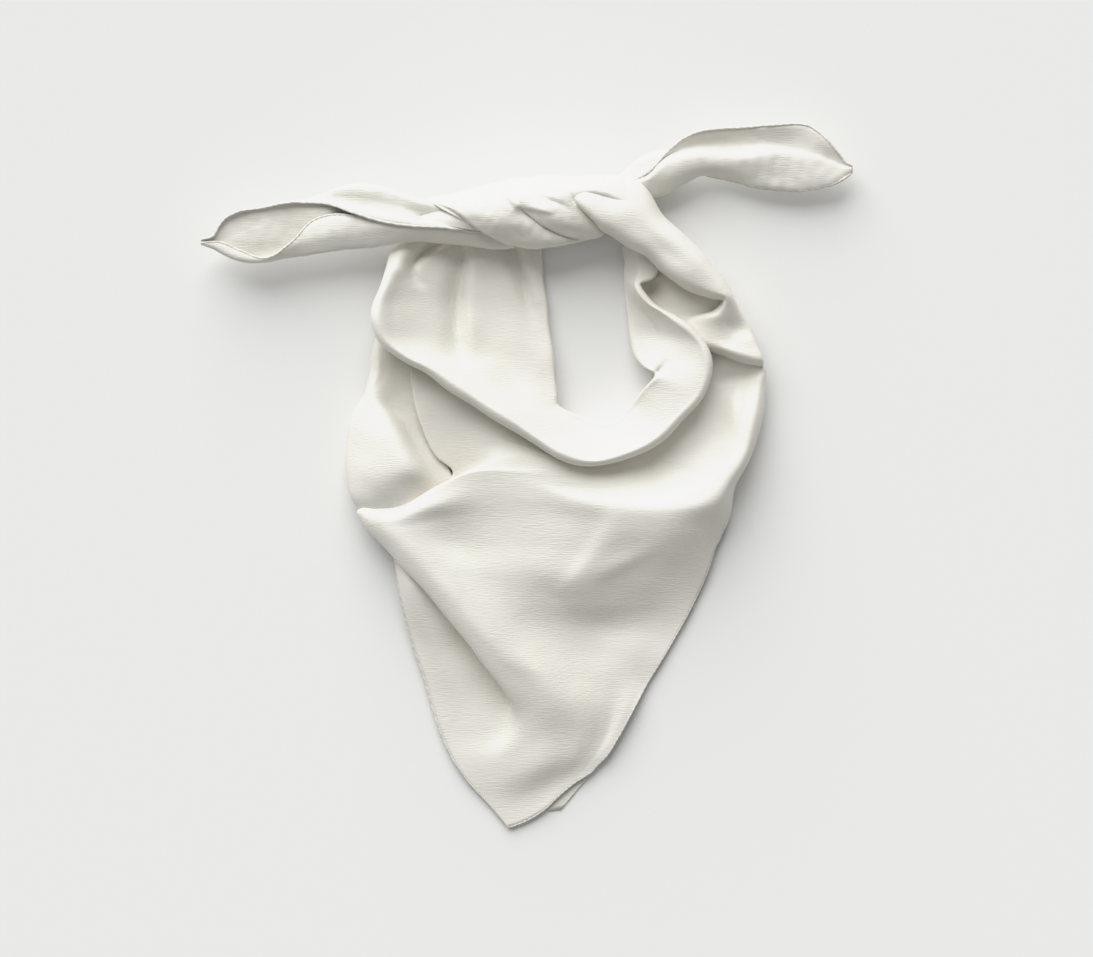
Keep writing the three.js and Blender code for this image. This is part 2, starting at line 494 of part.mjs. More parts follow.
function knotPoint(x, degrees, lift) {
  const section = knotSection(x);
  const angle = THREE.MathUtils.degToRad(degrees);
  return new THREE.Vector3(
    x,
    section.y + (section.across + lift) * Math.cos(angle),
    KNOT_AXIS_HEIGHT + (section.up + lift) * Math.sin(angle),
  );
}

// A wrap of the knot: a puffed band that runs aslant over the wound cloth
function wrapSurface({ top, bottom, half, lift, puff }) {
  const [fromTurn, toTurn] = WRAP_TURN;
  return Array.from({ length: WRAP_TURN_STEPS + 1 }, (_, i) => {
    const degrees = THREE.MathUtils.lerp(fromTurn, toTurn, i / WRAP_TURN_STEPS);
    const slant = (1 - Math.cos(THREE.MathUtils.degToRad(degrees))) / 2;
    const middle = THREE.MathUtils.lerp(top, bottom, slant);
    return Array.from({ length: WRAP_ACROSS_STEPS + 1 }, (_unused, j) => {
      const share = (2 * j) / WRAP_ACROSS_STEPS - 1;
      const rise = lift + puff * Math.sqrt(1 - WRAP_FLATNESS * share ** 2);
      return knotPoint(middle + share * half, degrees, rise);
    });
  });
}

// A closed body through oval sections, pointed at both ends
function knotCore() {
  const [start, end] = [KNOT[0].x, KNOT.at(-1).x];
  const positions = [];
  const triangles = [];
  for (let i = 0; i <= CORE_STATIONS; i += 1) {
    const x = THREE.MathUtils.lerp(start, end, i / CORE_STATIONS);
    for (let j = 0; j < CORE_SIDES; j += 1) {
      positions.push(...knotPoint(x, (360 * j) / CORE_SIDES, 0).toArray());
    }
  }
  for (const [near, out] of [[start, -CORE_POINT], [end, CORE_POINT]]) {
    positions.push(near + out, knotSection(near).y, KNOT_AXIS_HEIGHT);
  }
  const lastRing = CORE_STATIONS * CORE_SIDES;
  const firstTip = lastRing + CORE_SIDES;
  for (let j = 0; j < CORE_SIDES; j += 1) {
    const next = (j + 1) % CORE_SIDES;
    for (let ring = 0; ring < lastRing; ring += CORE_SIDES) {
      const [a, b] = [ring + j, ring + next];
      triangles.push(a, b, b + CORE_SIDES, a, b + CORE_SIDES, a + CORE_SIDES);
    }
    triangles.push(firstTip, next, j, firstTip + 1, lastRing + j, lastRing + next);
  }
  return closedGeometry(positions, triangles);
}

// A tail's surface: its sections stand across X, each place given by its Y and Z
function tailSurface(sections, rowCount) {
  const rows = sections.map(({ x, ...places }) =>
    Object.values(places).map(([y, z]) => new THREE.Vector3(x, y, z)));
  return surface(rows, rowCount, TAIL_COLUMNS);
}

function backPly() {
  const outline = BACK_OUTLINE.map(([x, y]) => new THREE.Vector2(x, y));
  return new THREE.ExtrudeGeometry(new THREE.Shape(outline), { depth: BACK_PLY, bevelEnabled: false });
}

// A rolled hem: a thin tube that follows the edge of the cloth
function hemTube(points) {
  const path = smoothCurve(points);
  const circle = Array.from({ length: HEM_SIDES }, (_, index) => {
    const angle = (2 * Math.PI * index) / HEM_SIDES;
    return new THREE.Vector2(HEM_RADIUS * Math.cos(angle), HEM_RADIUS * Math.sin(angle));
  });
  return new THREE.ExtrudeGeometry(new THREE.Shape(circle), {
    steps: Math.round(path.getLength() / HEM_PITCH),
    extrudePath: path,
    bevelEnabled: false,
  });
}

// An edge of a surface, moved out at right angles by the hem's radius and gap
function hemPath(grid, side, from) {
  const column = (index) => grid.map((row) => row.at(index));
  const [edge, inner] = {
    first: [column(0), column(1)],
    last: [column(-1), column(-2)],
    end: [grid.at(-1), grid.at(-2)],
  }[side];
  const moved = edge.map((point, index) => {
    const before = edge[Math.max(index - 1, 0)];
    const after = edge[Math.min(index + 1, edge.length - 1)];
    const along = after.clone().sub(before).normalize();
    const out = point.clone().sub(inner[index]);
    out.addScaledVector(along, -out.dot(along));
    return point.clone().add(out.setLength(HEM_RADIUS + GAP + HEM_SLACK));
  });
  return moved.slice(from, -1);
}

const scarf = new THREE.Group();

function addMesh(name, geometry, finish) {
  const mesh = new THREE.Mesh(geometry, new THREE.MeshStandardMaterial(finish));
  mesh.name = name;
  scarf.add(mesh);
}

// A cloth wall, with the slightly larger body that its neighbours are cut with
function clothPiece(grid, thickness = CLOTH) {
  const plain = toSolid(wall(grid, thickness));
  const grown = toSolid(wall(widened(grid, GAP), thickness + 2 * GAP));
  return { body: plain, room: grown.add(plain), finish: SILK };
}

const faceRow = Object.keys(COWL_ROWS).length * ROWS_PER_LINE;
const cornerColumn = (FACE_ROWS.chest.length - 1) * COLUMNS_PER_POINT;
const bibGrid = bibFrontSurface();
const bibFace = bibGrid.slice(faceRow).map((row) => row.slice(0, cornerColumn + 1));
const bibWall = wall(bibGrid, CLOTH, (i, j) => i < faceRow || j < cornerColumn);
const leftTailGrid = tailSurface(LEFT_TAIL, LEFT_TAIL_ROWS);
const rightTailGrid = tailSurface(RIGHT_TAIL, RIGHT_TAIL_ROWS);
const collarPieces = Object.entries(COLLAR_STRETCHES).map(([name, stations]) =>
  [name, clothPiece(collarSurface(stations))]);
const pieces = {
  ...Object.fromEntries(collarPieces),
  bib_front: { body: toSolid(bibWall), finish: SILK },
  side_lobe: clothPiece(sectionSurface(SIDE_LOBE, LOBE_ROWS, LOBE_COLUMNS)),
  right_band: clothPiece(sectionSurface(RIGHT_BAND, BAND_ROWS, BAND_COLUMNS)),
  left_tail: clothPiece(leftTailGrid),
  right_tail: clothPiece(rightTailGrid),
  knot_wrap_left: clothPiece(wrapSurface(KNOT_WRAPS.left), WOUND_CLOTH),
  knot_wrap_middle: clothPiece(wrapSurface(KNOT_WRAPS.middle), WOUND_CLOTH),
  knot_core: { body: toSolid(knotCore()), finish: SILK_INSIDE },
};

// Which neighbours each piece is cut back to clear
const CLEARED = {
  bib_front: ["neck_roll", "left_fall", "right_fall", "right_band", "side_lobe"],
  right_fall: ["right_band"],
  neck_roll: ["right_fall"],
  left_tail: ["knot_wrap_left", "left_fall"],
  right_tail: ["right_band"],
  knot_wrap_left: ["left_fall"],
  knot_wrap_middle: ["knot_wrap_left", "right_band", "left_fall"],
  knot_core: ["right_band", "left_tail", "knot_wrap_left", "knot_wrap_middle", "right_tail"],
};

for (const [name, { body, finish }] of Object.entries(pieces)) {
  const neighbours = (CLEARED[name] ?? []).map((neighbour) => pieces[neighbour].room);
  addMesh(name, toGeometry(clearOf(body, neighbours)), finish);
}
addMesh("bib_back", backPly(), SILK_INSIDE);

// The hems: the surface and side that each follows, from which of its rows
const tipFirst = leftTailGrid.toReversed();
const HEMS = {
  bib_left_hem: [bibFace, "first", 1],
  bib_tip_hem: [bibFace, "end", 1],
  bib_right_hem: [bibFace, "last", 1],
  left_tail_back_hem: [tipFirst, "first", 4],
  left_tail_front_hem: [tipFirst, "last", 4],
  right_tail_lower_hem: [rightTailGrid, "first", 6],
  right_tail_upper_hem: [rightTailGrid, "last", 3],
};
for (const [name, [grid, side, fromRow]] of Object.entries(HEMS)) {
  addMesh(name, hemTube(hemPath(grid, side, fromRow)), HEM_SILK);
}

export default scarf;
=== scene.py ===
"""An ivory silk neckerchief, folded on the diagonal, tied in a twisted half knot and laid flat.

One square of cloth makes every piece: the neck cloth with its soft roll, the bib
with its cowl and pleat, the side lobe, the band down the right side, the knot and
the two hemmed tails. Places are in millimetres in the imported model's frame, with
the origin on the floor, the bib's point towards -Y and the knot towards +Y.
"""

import logging
import math
from collections.abc import Sequence
from dataclasses import dataclass
from enum import Enum

import bpy
import numpy as np
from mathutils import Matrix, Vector

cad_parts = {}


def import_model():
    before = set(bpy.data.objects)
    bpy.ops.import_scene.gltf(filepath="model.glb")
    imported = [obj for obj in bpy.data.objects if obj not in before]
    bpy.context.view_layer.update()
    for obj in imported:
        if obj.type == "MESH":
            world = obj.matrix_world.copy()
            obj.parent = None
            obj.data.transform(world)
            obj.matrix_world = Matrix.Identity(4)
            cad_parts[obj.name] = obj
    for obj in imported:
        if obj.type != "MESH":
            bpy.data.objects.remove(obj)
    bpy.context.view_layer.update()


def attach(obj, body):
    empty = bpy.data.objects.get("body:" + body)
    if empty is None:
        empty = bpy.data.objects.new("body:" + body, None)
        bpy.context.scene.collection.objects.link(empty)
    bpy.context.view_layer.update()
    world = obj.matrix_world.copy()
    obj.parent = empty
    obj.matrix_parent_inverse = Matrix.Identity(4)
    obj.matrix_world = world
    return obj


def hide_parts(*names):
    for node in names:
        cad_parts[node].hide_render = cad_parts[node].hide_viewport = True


LOG = logging.getLogger("neckerchief")
MM = 0.001
Place = tuple[float, float, float]
Array = np.ndarray
Piece = bpy.types.Object
Tree = bpy.types.NodeTree
Socket = bpy.types.NodeSocket


class Slot(Enum):
    """The record's material slots."""

    SILK = "silk"
    INSIDE = "silk_inside"
    HEM = "rolled_hem"


class Held(Enum):
    """How a stretch of the cloth is held."""

    DRAPED = "draped"
    FOLDED = "folded"
    GATHERED = "gathered"
    LAID = "laid"


def linear(colour: str) -> tuple[float, float, float, float]:
    """Turn an sRGB hex colour into linear light.

    Args:
        colour: The colour as #rrggbb.

    Returns:
        Red, green and blue in linear light, and an alpha of 1.
    """
    shares = [int(colour[at:at + 2], 16) / 255 for at in (1, 3, 5)]
    return (*(c / 12.92 if c <= 0.04045 else ((c + 0.055) / 1.055) ** 2.4 for c in shares), 1.0)


def along(points: Array, places: Array) -> Array:
    """Read a smooth centripetal curve, or many side by side.

    Args:
        points: The places it passes, along the first axis.
        places: Where to read it, counted in points.

    Returns:
        The places read, along the first axis.
    """
    first, last = 2 * points[0] - points[1], 2 * points[-1] - points[-2]
    held = np.concatenate([first[None], points, last[None]])
    span = np.clip(places.astype(int), 0, len(points) - 2)
    share = (places - span).reshape(-1, *[1] * (points.ndim - 1))
    a, b, c, d = (held[span + step] for step in range(4))
    closest = 1e-3

    def reach(start: Array, end: Array) -> Array:
        """The knot distance between two places."""
        return np.maximum(np.linalg.norm(end - start, axis=-1, keepdims=True) ** 0.5, closest)

    one = reach(a, b)
    two = one + reach(b, c)
    three = two + reach(c, d)
    now = one + share * (two - one)

    def mix(start: Array, end: Array, low: Array, high: Array) -> Array:
        """The place between two others at the knot reached now."""
        return ((high - now) * start + (now - low) * end) / (high - low)

    none = np.zeros_like(one)
    left = mix(mix(a, b, none, one), mix(b, c, one, two), none, two)
    right = mix(mix(b, c, one, two), mix(c, d, two, three), one, three)
    return mix(left, right, one, two)


def even_stretch(points: Sequence[Place] | Array, count: int) -> Array:
    """Sample a smooth line evenly along its length.

    Args:
        points: The places that it passes.
        count: How many samples it gets.

    Returns:
        The samples, one a row.
    """
    per_span = 30
    last = len(points) - 1
    fine = along(np.array(points, float), np.linspace(0, last, per_span * last + 1))
    steps = np.linalg.norm(np.diff(fine, axis=0), axis=1)
    run = np.concatenate([[0.0], np.cumsum(steps)])
    wanted = np.linspace(0, run[-1], count)
    return np.stack([np.interp(wanted, run, fine[:, axis]) for axis in range(3)], axis=1)


def fine_places(grid: Array, pitch: float) -> Array:
    """Work out where to read between a grid's rows for finer ones.

    Args:
        grid: The rows of places.
        pitch: About how far apart the new rows lie.

    Returns:
        Where to read, counted in rows.
    """
    gaps = np.linalg.norm(np.diff(grid, axis=0), axis=2).mean(axis=1)
    steps = [max(2, math.ceil(gap / pitch)) for gap in gaps]
    spans = [at + np.arange(count) / count for at, count in enumerate(steps)]
    return np.concatenate([*spans, [float(len(grid) - 1)]])


@dataclass(frozen=True)
class Ripple:
    """Small irregular waves of the cloth, summed from plane waves of about one length.

    The lengths vary upwards from the least share of the wavelength. The climb says
    how much a place's height counts.
    """

    wavelength: float
    height: float
    seed: int
    stretch: tuple[float, float] = (1.0, 1.0)
    waves: int = 16
    least: float = 0.85
    varies: float = 0.05
    climb: float = 0.37

    def at(self, grid: Array) -> Array:
        """Work out the ripple's height at each place of a grid.

        Args:
            grid: Places, with the coordinates along the last axis.

        Returns:
            The heights.
        """
        random = np.random.default_rng(self.seed)
        total = np.zeros(grid.shape[:-1])
        plan = grid[..., :2] / np.array(self.stretch) + self.climb * grid[..., 2:]
        for _ in range(self.waves):
            angle, phase, drawn = random.uniform(0, math.tau, 3)
            length = self.wavelength * (self.varies * drawn + self.least)
            way = np.array([math.cos(angle), math.sin(angle)]) * math.tau / length
            total += np.sin(plan @ way + phase)
        return self.height * total * math.sqrt(2 / self.waves)


@dataclass(frozen=True)
class Crease:
    """A soft ridge along a line in plan, or a groove where its heights are negative.

    Each point of the spine is a place in plan and the height there. The two
    widths say how far the slope reaches to the line's left and right. Only cloth
    lower than the top is pressed.
    """

    spine: tuple[Place, ...]
    left: float
    right: float
    top: float = math.inf

    def beside(self, grid: Array) -> tuple[Array, Array, Array]:
        """Find where a grid's places lie beside the spine.

        Args:
            grid: Places, with the coordinates along the last axis.

        Returns:
            The distance, positive on the left, the spine's height there, and
            the direction to the left in plan.
        """
        count, per_span = len(self.spine), 10
        line = along(np.array(self.spine, float), np.linspace(0, count - 1, per_span * count))
        plan = grid[..., :2]
        nearest = np.full(grid.shape[:-1], np.inf)
        signed, height = np.zeros_like(nearest), np.zeros_like(nearest)
        side = np.zeros_like(plan)
        for start, end in zip(line[:-1], line[1:]):
            run = end[:2] - start[:2]
            length = math.hypot(*run)
            share = np.clip((plan - start[:2]) @ run / length ** 2, 0, 1)
            away = plan - start[:2] - share[..., None] * run
            distance = np.linalg.norm(away, axis=-1)
            left = np.array([-run[1], run[0]]) / length
            closer = distance < nearest
            nearest[closer] = distance[closer]
            signed[closer] = np.where(away @ left < 0, -distance, distance)[closer]
            height[closer] = (start[2] + share * (end[2] - start[2]))[closer]
            side[closer] = left
        return signed, height, side

    def press(self, grid: Array) -> None:
        """Raise or sink a grid's places along the crease.

        Args:
            grid: The places, which it moves.
        """
        signed, height, _ = self.beside(grid)
        width = np.where(signed > 0, self.left, self.right)
        pressed = height * np.exp(-((signed / width) ** 2))
        grid[..., 2] += np.where(grid[..., 2] < self.top, pressed, 0)


@dataclass(frozen=True)
class Overhang(Crease):
    """A step in the cloth: its left side is lifted and leans out over its right."""

    lean: float = 1.2
    steepness: float = 3.0

    def press(self, grid: Array) -> None:
        """Lift the left side of the spine and lean its edge over the right.

        Args:
            grid: The places, which it moves.
        """
        signed, height, side = self.beside(grid)
        fades = np.exp(-np.maximum(signed, 0) / self.left)
        lift = fades / (1 + np.exp(-self.steepness * signed / self.right))
        highest = max(point[2] for point in self.spine)
        grid[..., 2] += height * lift
        grid[..., :2] -= (self.lean * height * lift / highest)[..., None] * side


@dataclass
class Drape:
    """The middle surface of a stretch of cloth: a grid of places, and which cells are cloth if not all."""

    grid: Array
    kept: Array | None = None

    @classmethod
    def through(cls, sections: Sequence[Sequence[Place]], pitch: float) -> "Drape":
        """Loft a surface through sections that have the same number of points.

        Args:
            sections: The sections, in order.
            pitch: About how far apart its places lie.

        Returns:
            The surface.
        """
        grid = np.array(sections, float)
        grid = along(grid, fine_places(grid, pitch))
        turned = grid.transpose(1, 0, 2)
        return cls(along(turned, fine_places(turned, pitch)).transpose(1, 0, 2))

    def crease(self, creases: Sequence[Crease]) -> "Drape":
        """Press creases into the surface.

        Args:
            creases: The creases, in order.

        Returns:
            The surface itself.
        """
        for crease in creases:
            crease.press(self.grid)
        return self

    def ripple(self, ripples: Sequence[Ripple]) -> "Drape":
        """Move the surface in and out along its normals.

        Args:
            ripples: The ripples, which add up.

        Returns:
            The surface itself.
        """
        normals = self.normals()
        self.grid = self.grid + sum(ripple.at(self.grid) for ripple in ripples)[..., None] * normals
        return self

    def settle(self, height: float) -> "Drape":
        """Keep every place of the surface at least this high above the floor."""
        self.grid[..., 2] = np.maximum(self.grid[..., 2], height)
        return self

    def normals(self) -> Array:
        """Work out which way the surface faces.

        Returns:
            The unit normal at each place.
        """
        down, across = np.gradient(self.grid, axis=0), np.gradient(self.grid, axis=1)
        normal = np.cross(across, down)
        shortest = 1e-9
        return normal / np.maximum(np.linalg.norm(normal, axis=2, keepdims=True), shortest)

    def cells(self) -> Array:
        """Number the corners of the kept cells.

        Returns:
            The four corner numbers of each.
        """
        rows, columns = self.grid.shape[:2]
        number = np.arange(rows * columns).reshape(rows, columns)
        i, j = np.nonzero(np.ones((rows - 1, columns - 1)) if self.kept is None else self.kept)
        return np.stack([number[i, j], number[i + 1, j], number[i + 1, j + 1], number[i, j + 1]], axis=1)

    def wall(self, name: str, thickness: float) -> Piece:
        """Make the cloth a closed wall.

        Args:
            name: The piece's name.
            thickness: How thick the wall is, in millimetres.

        Returns:
            The piece.
        """
        half = self.normals() * thickness / 2
        count = self.grid[..., 0].size
        faces = self.cells()
        starts, ends = faces.ravel(), np.roll(faces, -1, axis=1).ravel()
        rim = ~np.isin(starts * count + ends, ends * count + starts)
        starts, ends = starts[rim], ends[rim]
        sides = np.stack([ends, starts, starts + count, ends + count], axis=1)
        places = np.concatenate([(self.grid + half).reshape(-1, 3), (self.grid - half).reshape(-1, 3)])
        return new_piece(name, places, np.concatenate([faces, faces[:, ::-1] + count, sides]))


def new_piece(name: str, places: Array, faces: Array) -> Piece:
    """Make a smooth piece from places and faces, its normals pointing out.

    Args:
        name: The piece's name.
        places: Its corners in millimetres.
        faces: The corner numbers of each face.

    Returns:
        The piece, linked to the scene.
    """
    used, faces = np.unique(faces, return_inverse=True)
    places, faces = places[used] * MM, faces.reshape(-1, 4)
    corners = places[faces]
    turning = np.cross(corners[:, 2] - corners[:, 0], corners[:, 3] - corners[:, 1])
    if (corners.mean(axis=1) * turning).sum() < 0:
        faces = faces[:, ::-1]
    mesh = bpy.data.meshes.new(name)
    mesh.from_pydata(places.tolist(), [], faces.tolist())
    mesh.shade_smooth()
    piece = bpy.data.objects.new(name, mesh)
    bpy.context.scene.collection.objects.link(piece)
    return piece


def add_node(tree: Tree, kind: str, inputs: dict | None = None, **options: object) -> bpy.types.Node:
    """Add one node with its settings and links.

    Args:
        tree: The material's node tree.
        kind: The node's type name.
        inputs: What goes into its inputs, each a value or another node's output.
        options: The node's own settings.

    Returns:
        The node.
    """
    node = tree.nodes.new(kind)
    for option, value in options.items():
        setattr(node, option, value)
    for socket, value in (inputs or {}).items():
        if isinstance(value, Socket):
            tree.links.new(value, node.inputs[socket])
        else:
            node.inputs[socket].default_value = value
    return node


@dataclass(frozen=True)
class Finish:
    """A finish, with the two tones that its colour lies between."""

    name: str
    light: str
    shade: str
    roughness: float

    def material(self) -> bpy.types.Material:
        """Build the material once, and give it again later.

        Returns:
            The material.
        """
        if self.name not in bpy.data.materials:
            material = bpy.data.materials.new(self.name)
            material.use_nodes = True
            tree = material.node_tree
            tree.nodes.clear()
            where = add_node(tree, "ShaderNodeTexCoord").outputs["Object"]
            surface = add_node(tree, "ShaderNodeBsdfPrincipled", self.surface(tree, where))
            add_node(tree, "ShaderNodeOutputMaterial", {"Surface": surface.outputs["BSDF"]})
        return bpy.data.materials[self.name]

    def surface(self, tree: Tree, where: Socket) -> dict:
        """What goes into the shader's inputs, patterned by the piece's own coordinates."""
        raise NotImplementedError

    def tint(self, tree: Tree, share: Socket) -> Socket:
        """The colour between the light and the shaded tone."""
        tones = {"Factor": share, 6: linear(self.light), 7: linear(self.shade)}
        return add_node(tree, "ShaderNodeMix", tones, data_type="RGBA").outputs[2]


@dataclass(frozen=True)
class RibbedSilk(Finish):
    """Ivory silk, woven with a fine crosswise rib and washed.

    The rib gives faint broken lines, a little over a millimetre apart, and the
    washed finish a soft glow that fades slowly from light to shade.
    """

    name: str = "ivory_ribbed_silk"
    light: str = "#E8E6DE"
    shade: str = "#E1DDD1"
    roughness: float = 0.46
    roughness_varies: float = 0.06
    sheen: float = 0.22
    sheen_roughness: float = 0.35
    ior: float = 1.45
    rib_pitch: float = 1.15
    rib_length: float = 11.0
    rib_height: float = 0.28
    thread: float = 0.38
    thread_share: float = 0.12
    mottle: float = 38.0

    def surface(self, tree: Tree, where: Socket) -> dict:
        """Weave the ribs over finer threads, fading in and out in wide patches.

        Args:
            tree: The material's node tree.
            where: The piece's own coordinates.

        Returns:
            What goes into the shader's inputs.
        """

        def pattern(size: Place, detail: float) -> Socket:
            """Make soft noise whose grains have a real size.

            Args:
                size: The grain's sides in millimetres.
                detail: How many finer layers it has.

            Returns:
                The noise.
            """
            scale = tuple(1 / (side * MM) for side in size)
            spread = add_node(tree, "ShaderNodeMapping", {"Vector": where, "Scale": scale})
            noise = add_node(tree, "ShaderNodeTexNoise", {
                "Vector": spread.outputs["Vector"], "Scale": 2.0, "Detail": detail, "Roughness": 0.55})
            return noise.outputs["Fac"]

        ribs = pattern((self.rib_length, self.rib_pitch, 2.5 * self.rib_pitch), 2.0)
        threads = pattern((self.thread, self.thread, self.thread), 1.0)
        patches = pattern((self.mottle, self.mottle, self.mottle), 2.0)
        ribbed = add_node(tree, "ShaderNodeMapRange", {
            "Value": patches, "From Min": 0.35, "From Max": 0.65, "To Min": 0.45, "To Max": 1.0})
        height = add_node(tree, "ShaderNodeMath", {
            0: ribs, 1: ribbed.outputs["Result"]}, operation="MULTIPLY")
        woven = add_node(tree, "ShaderNodeMath", {
            0: threads, 1: self.thread_share, 2: height.outputs[0]}, operation="MULTIPLY_ADD")
        bump = add_node(tree, "ShaderNodeBump", {
            "Height": woven.outputs[0], "Distance": self.rib_height * MM, "Strength": 1.0})
        gloss = add_node(tree, "ShaderNodeMapRange", {
            "Value": ribs,
            "To Min": self.roughness - self.roughness_varies,
            "To Max": self.roughness + self.roughness_varies,
        })
        return {
            "Base Color": self.tint(tree, patches),
            "Roughness": gloss.outputs["Result"],
            "Normal": bump.outputs["Normal"],
            "IOR": self.ior,
            "Sheen Weight": self.sheen,
            "Sheen Roughness": self.sheen_roughness,
        }


@dataclass(frozen=True)
class RolledSilk(Finish):
    """The same silk rolled into a hem and slip-stitched.

    The roll is denser than the open cloth, and both its tones are painted a tone greyer, partly for that and
    partly as painted shade along the rolled edge; a slanting thread comes every couple of millimetres.
    """

    name: str = "rolled_silk_hem"
    # Both tones are painted greyer than the open silk's: partly the denser roll, partly painted shade along
    # the rolled edge.
    light: str = "#E0DDD4"
    shade: str = "#CFCCC2"
    roughness: float = 0.6
    stitch: float = 1.9
    stitch_depth: float = 0.3

    def surface(self, tree: Tree, where: Socket) -> dict:
        """Lay the slanting stitches.

        Args:
            tree: The material's node tree.
            where: The piece's own coordinates.

        Returns:
            What goes into the shader's inputs.
        """
        wave_at_one = math.tau / 20
        stitches = add_node(tree, "ShaderNodeTexWave", {
            "Vector": where, "Scale": wave_at_one / (self.stitch * MM), "Distortion": 1.5, "Detail": 1.0},
            bands_direction="DIAGONAL").outputs["Fac"]
        bump = add_node(tree, "ShaderNodeBump", {
            "Height": stitches, "Distance": self.stitch_depth * MM, "Strength": 0.5})
        return {
            "Base Color": self.tint(tree, stitches),
            "Normal": bump.outputs["Normal"],
            "Roughness": self.roughness,
        }


@dataclass(frozen=True)
class PaperSweep(Finish):
    """A pale matt paper sweep, which gives soft shadows and no gloss."""

    name: str = "matt_paper"
    light: str = "#ECECEA"
    shade: str = "#EBEBE9"
    roughness: float = 0.95
    specular: float = 0.1
    grain: float = 2.0

    def surface(self, tree: Tree, where: Socket) -> dict:
        """Give the paper a faint grain.

        Args:
            tree: The material's node tree.
            where: The piece's own coordinates.

        Returns:
            What goes into the shader's inputs.
        """
        grain = add_node(tree, "ShaderNodeTexNoise", {"Vector": where, "Scale": 1 / (self.grain * MM)})
        return {
            "Base Color": self.tint(tree, grain.outputs["Fac"]),
            "Roughness": self.roughness,
            "Specular IOR Level": self.specular,
        }


@dataclass
class Hem:
    """A rolled hem, drawn in a little at each stitch and narrowed at its ends."""

    radius: float = 0.55
    sides: int = 10
    pitch: float = 0.6
    stitch: float = 2.4
    pinch: float = 0.14
    pinch_power: int = 8
    end_share: float = 0.55
    finish: RolledSilk = RolledSilk()

    def along(self, name: str, line: Array) -> Piece:
        """Roll a hem along a line, in place of the CAD node of the same name.

        Args:
            name: The piece's name.
            line: The places it passes.

        Returns:
            The piece.
        """
        length = np.linalg.norm(np.diff(line, axis=0), axis=1).sum()
        path = even_stretch(line, round(length / self.pitch))
        forward = np.gradient(path, axis=0)
        forward /= np.linalg.norm(forward, axis=1, keepdims=True)
        side = np.cross(forward, (0.0, 0.0, 1.0))
        side /= np.linalg.norm(side, axis=1, keepdims=True)
        up = np.cross(side, forward)
        run = np.arange(len(path)) * self.pitch
        drawn_in = np.cos(math.pi * run / self.stitch) ** self.pinch_power
        reach = self.radius * (1 - self.pinch * drawn_in)
        reach[[0, -1]] *= self.end_share
        turn = np.arange(self.sides) * math.tau / self.sides
        rings = (path[:, None] + reach[:, None, None] * (
            np.cos(turn)[None, :, None] * side[:, None] + np.sin(turn)[None, :, None] * up[:, None]))
        number = np.arange(rings[..., 0].size).reshape(rings.shape[:2])
        after = np.roll(number, -1, axis=1)
        faces = np.stack([number[:-1], after[:-1], after[1:], number[1:]], axis=-1).reshape(-1, 4)
        fan = [(0, at, at + 1, at + 2) for at in range(1, self.sides - 2, 2)]
        caps = [number[0][list(cap)] for cap in fan] + [number[-1][list(cap[::-1])] for cap in fan]
        piece = new_piece(name, rings.reshape(-1, 3), np.concatenate([faces, caps]))
        piece.data.materials.append(self.finish.material())
        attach(piece, "root")
        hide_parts(name)
        LOG.info("%s: %.0f mm long", name, length)
        return piece


@dataclass
class Cloth:
    """What every stretch of the square has: its thickness, finish, creases and ripples."""

    thickness: float = 0.8
    pitch: float = 1.4
    finish: RibbedSilk = RibbedSilk()
    creases: tuple[Crease, ...] = ()
    ripples: tuple[Ripple, ...] = ()

    def fold(self, sections: Sequence[Sequence[Place]]) -> Drape:
        """Loft the stretch through its sections, with its creases and ripples."""
        return Drape.through(sections, self.pitch).crease(self.creases).ripple(self.ripples)

    def finish_piece(
        self,
        name: str,
        drape: Drape,
        held: Held,
        rests_on: Sequence[str],
        nodes: Sequence[str] = (),
        slot: Slot = Slot.SILK,
        hems: Sequence[Piece] = (),
    ) -> None:
        """Args:
            name: The piece's name.
            drape: Its middle surface.
            held: How it is held. Not used.
            rests_on: What it lies on. Not used.
            nodes: The CAD nodes it stands for, where they have other names.
            slot: The record's material slot. Not used.
            hems: The hems on its edges. Not used.
        """
        piece = drape.wall(name, self.thickness)
        piece.data.materials.append(self.finish.material())
        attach(piece, "root")
        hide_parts(*(nodes or (name,)))


# What the neck cloth's sections share: how far in and how low the opening's edge turns, where
# the rise is read, and, as shares of the way and the drop from the crest to the outer edge,
# where the crest rounds off, where the cloth tucks under and where it ends.
TURN_IN, TURN_HEIGHT = 5, 1.2
RISE_SHARES = (0.12, 0.45, 0.75, 0.92)
ROUND_WAY, ROUND_DROP = 0.84, 0.22
TUCK_WAY, TUCK_RISE = 0.5, 0.2
FLOOR_WAY, FLOOR_HEIGHT = 2.6, 0.66


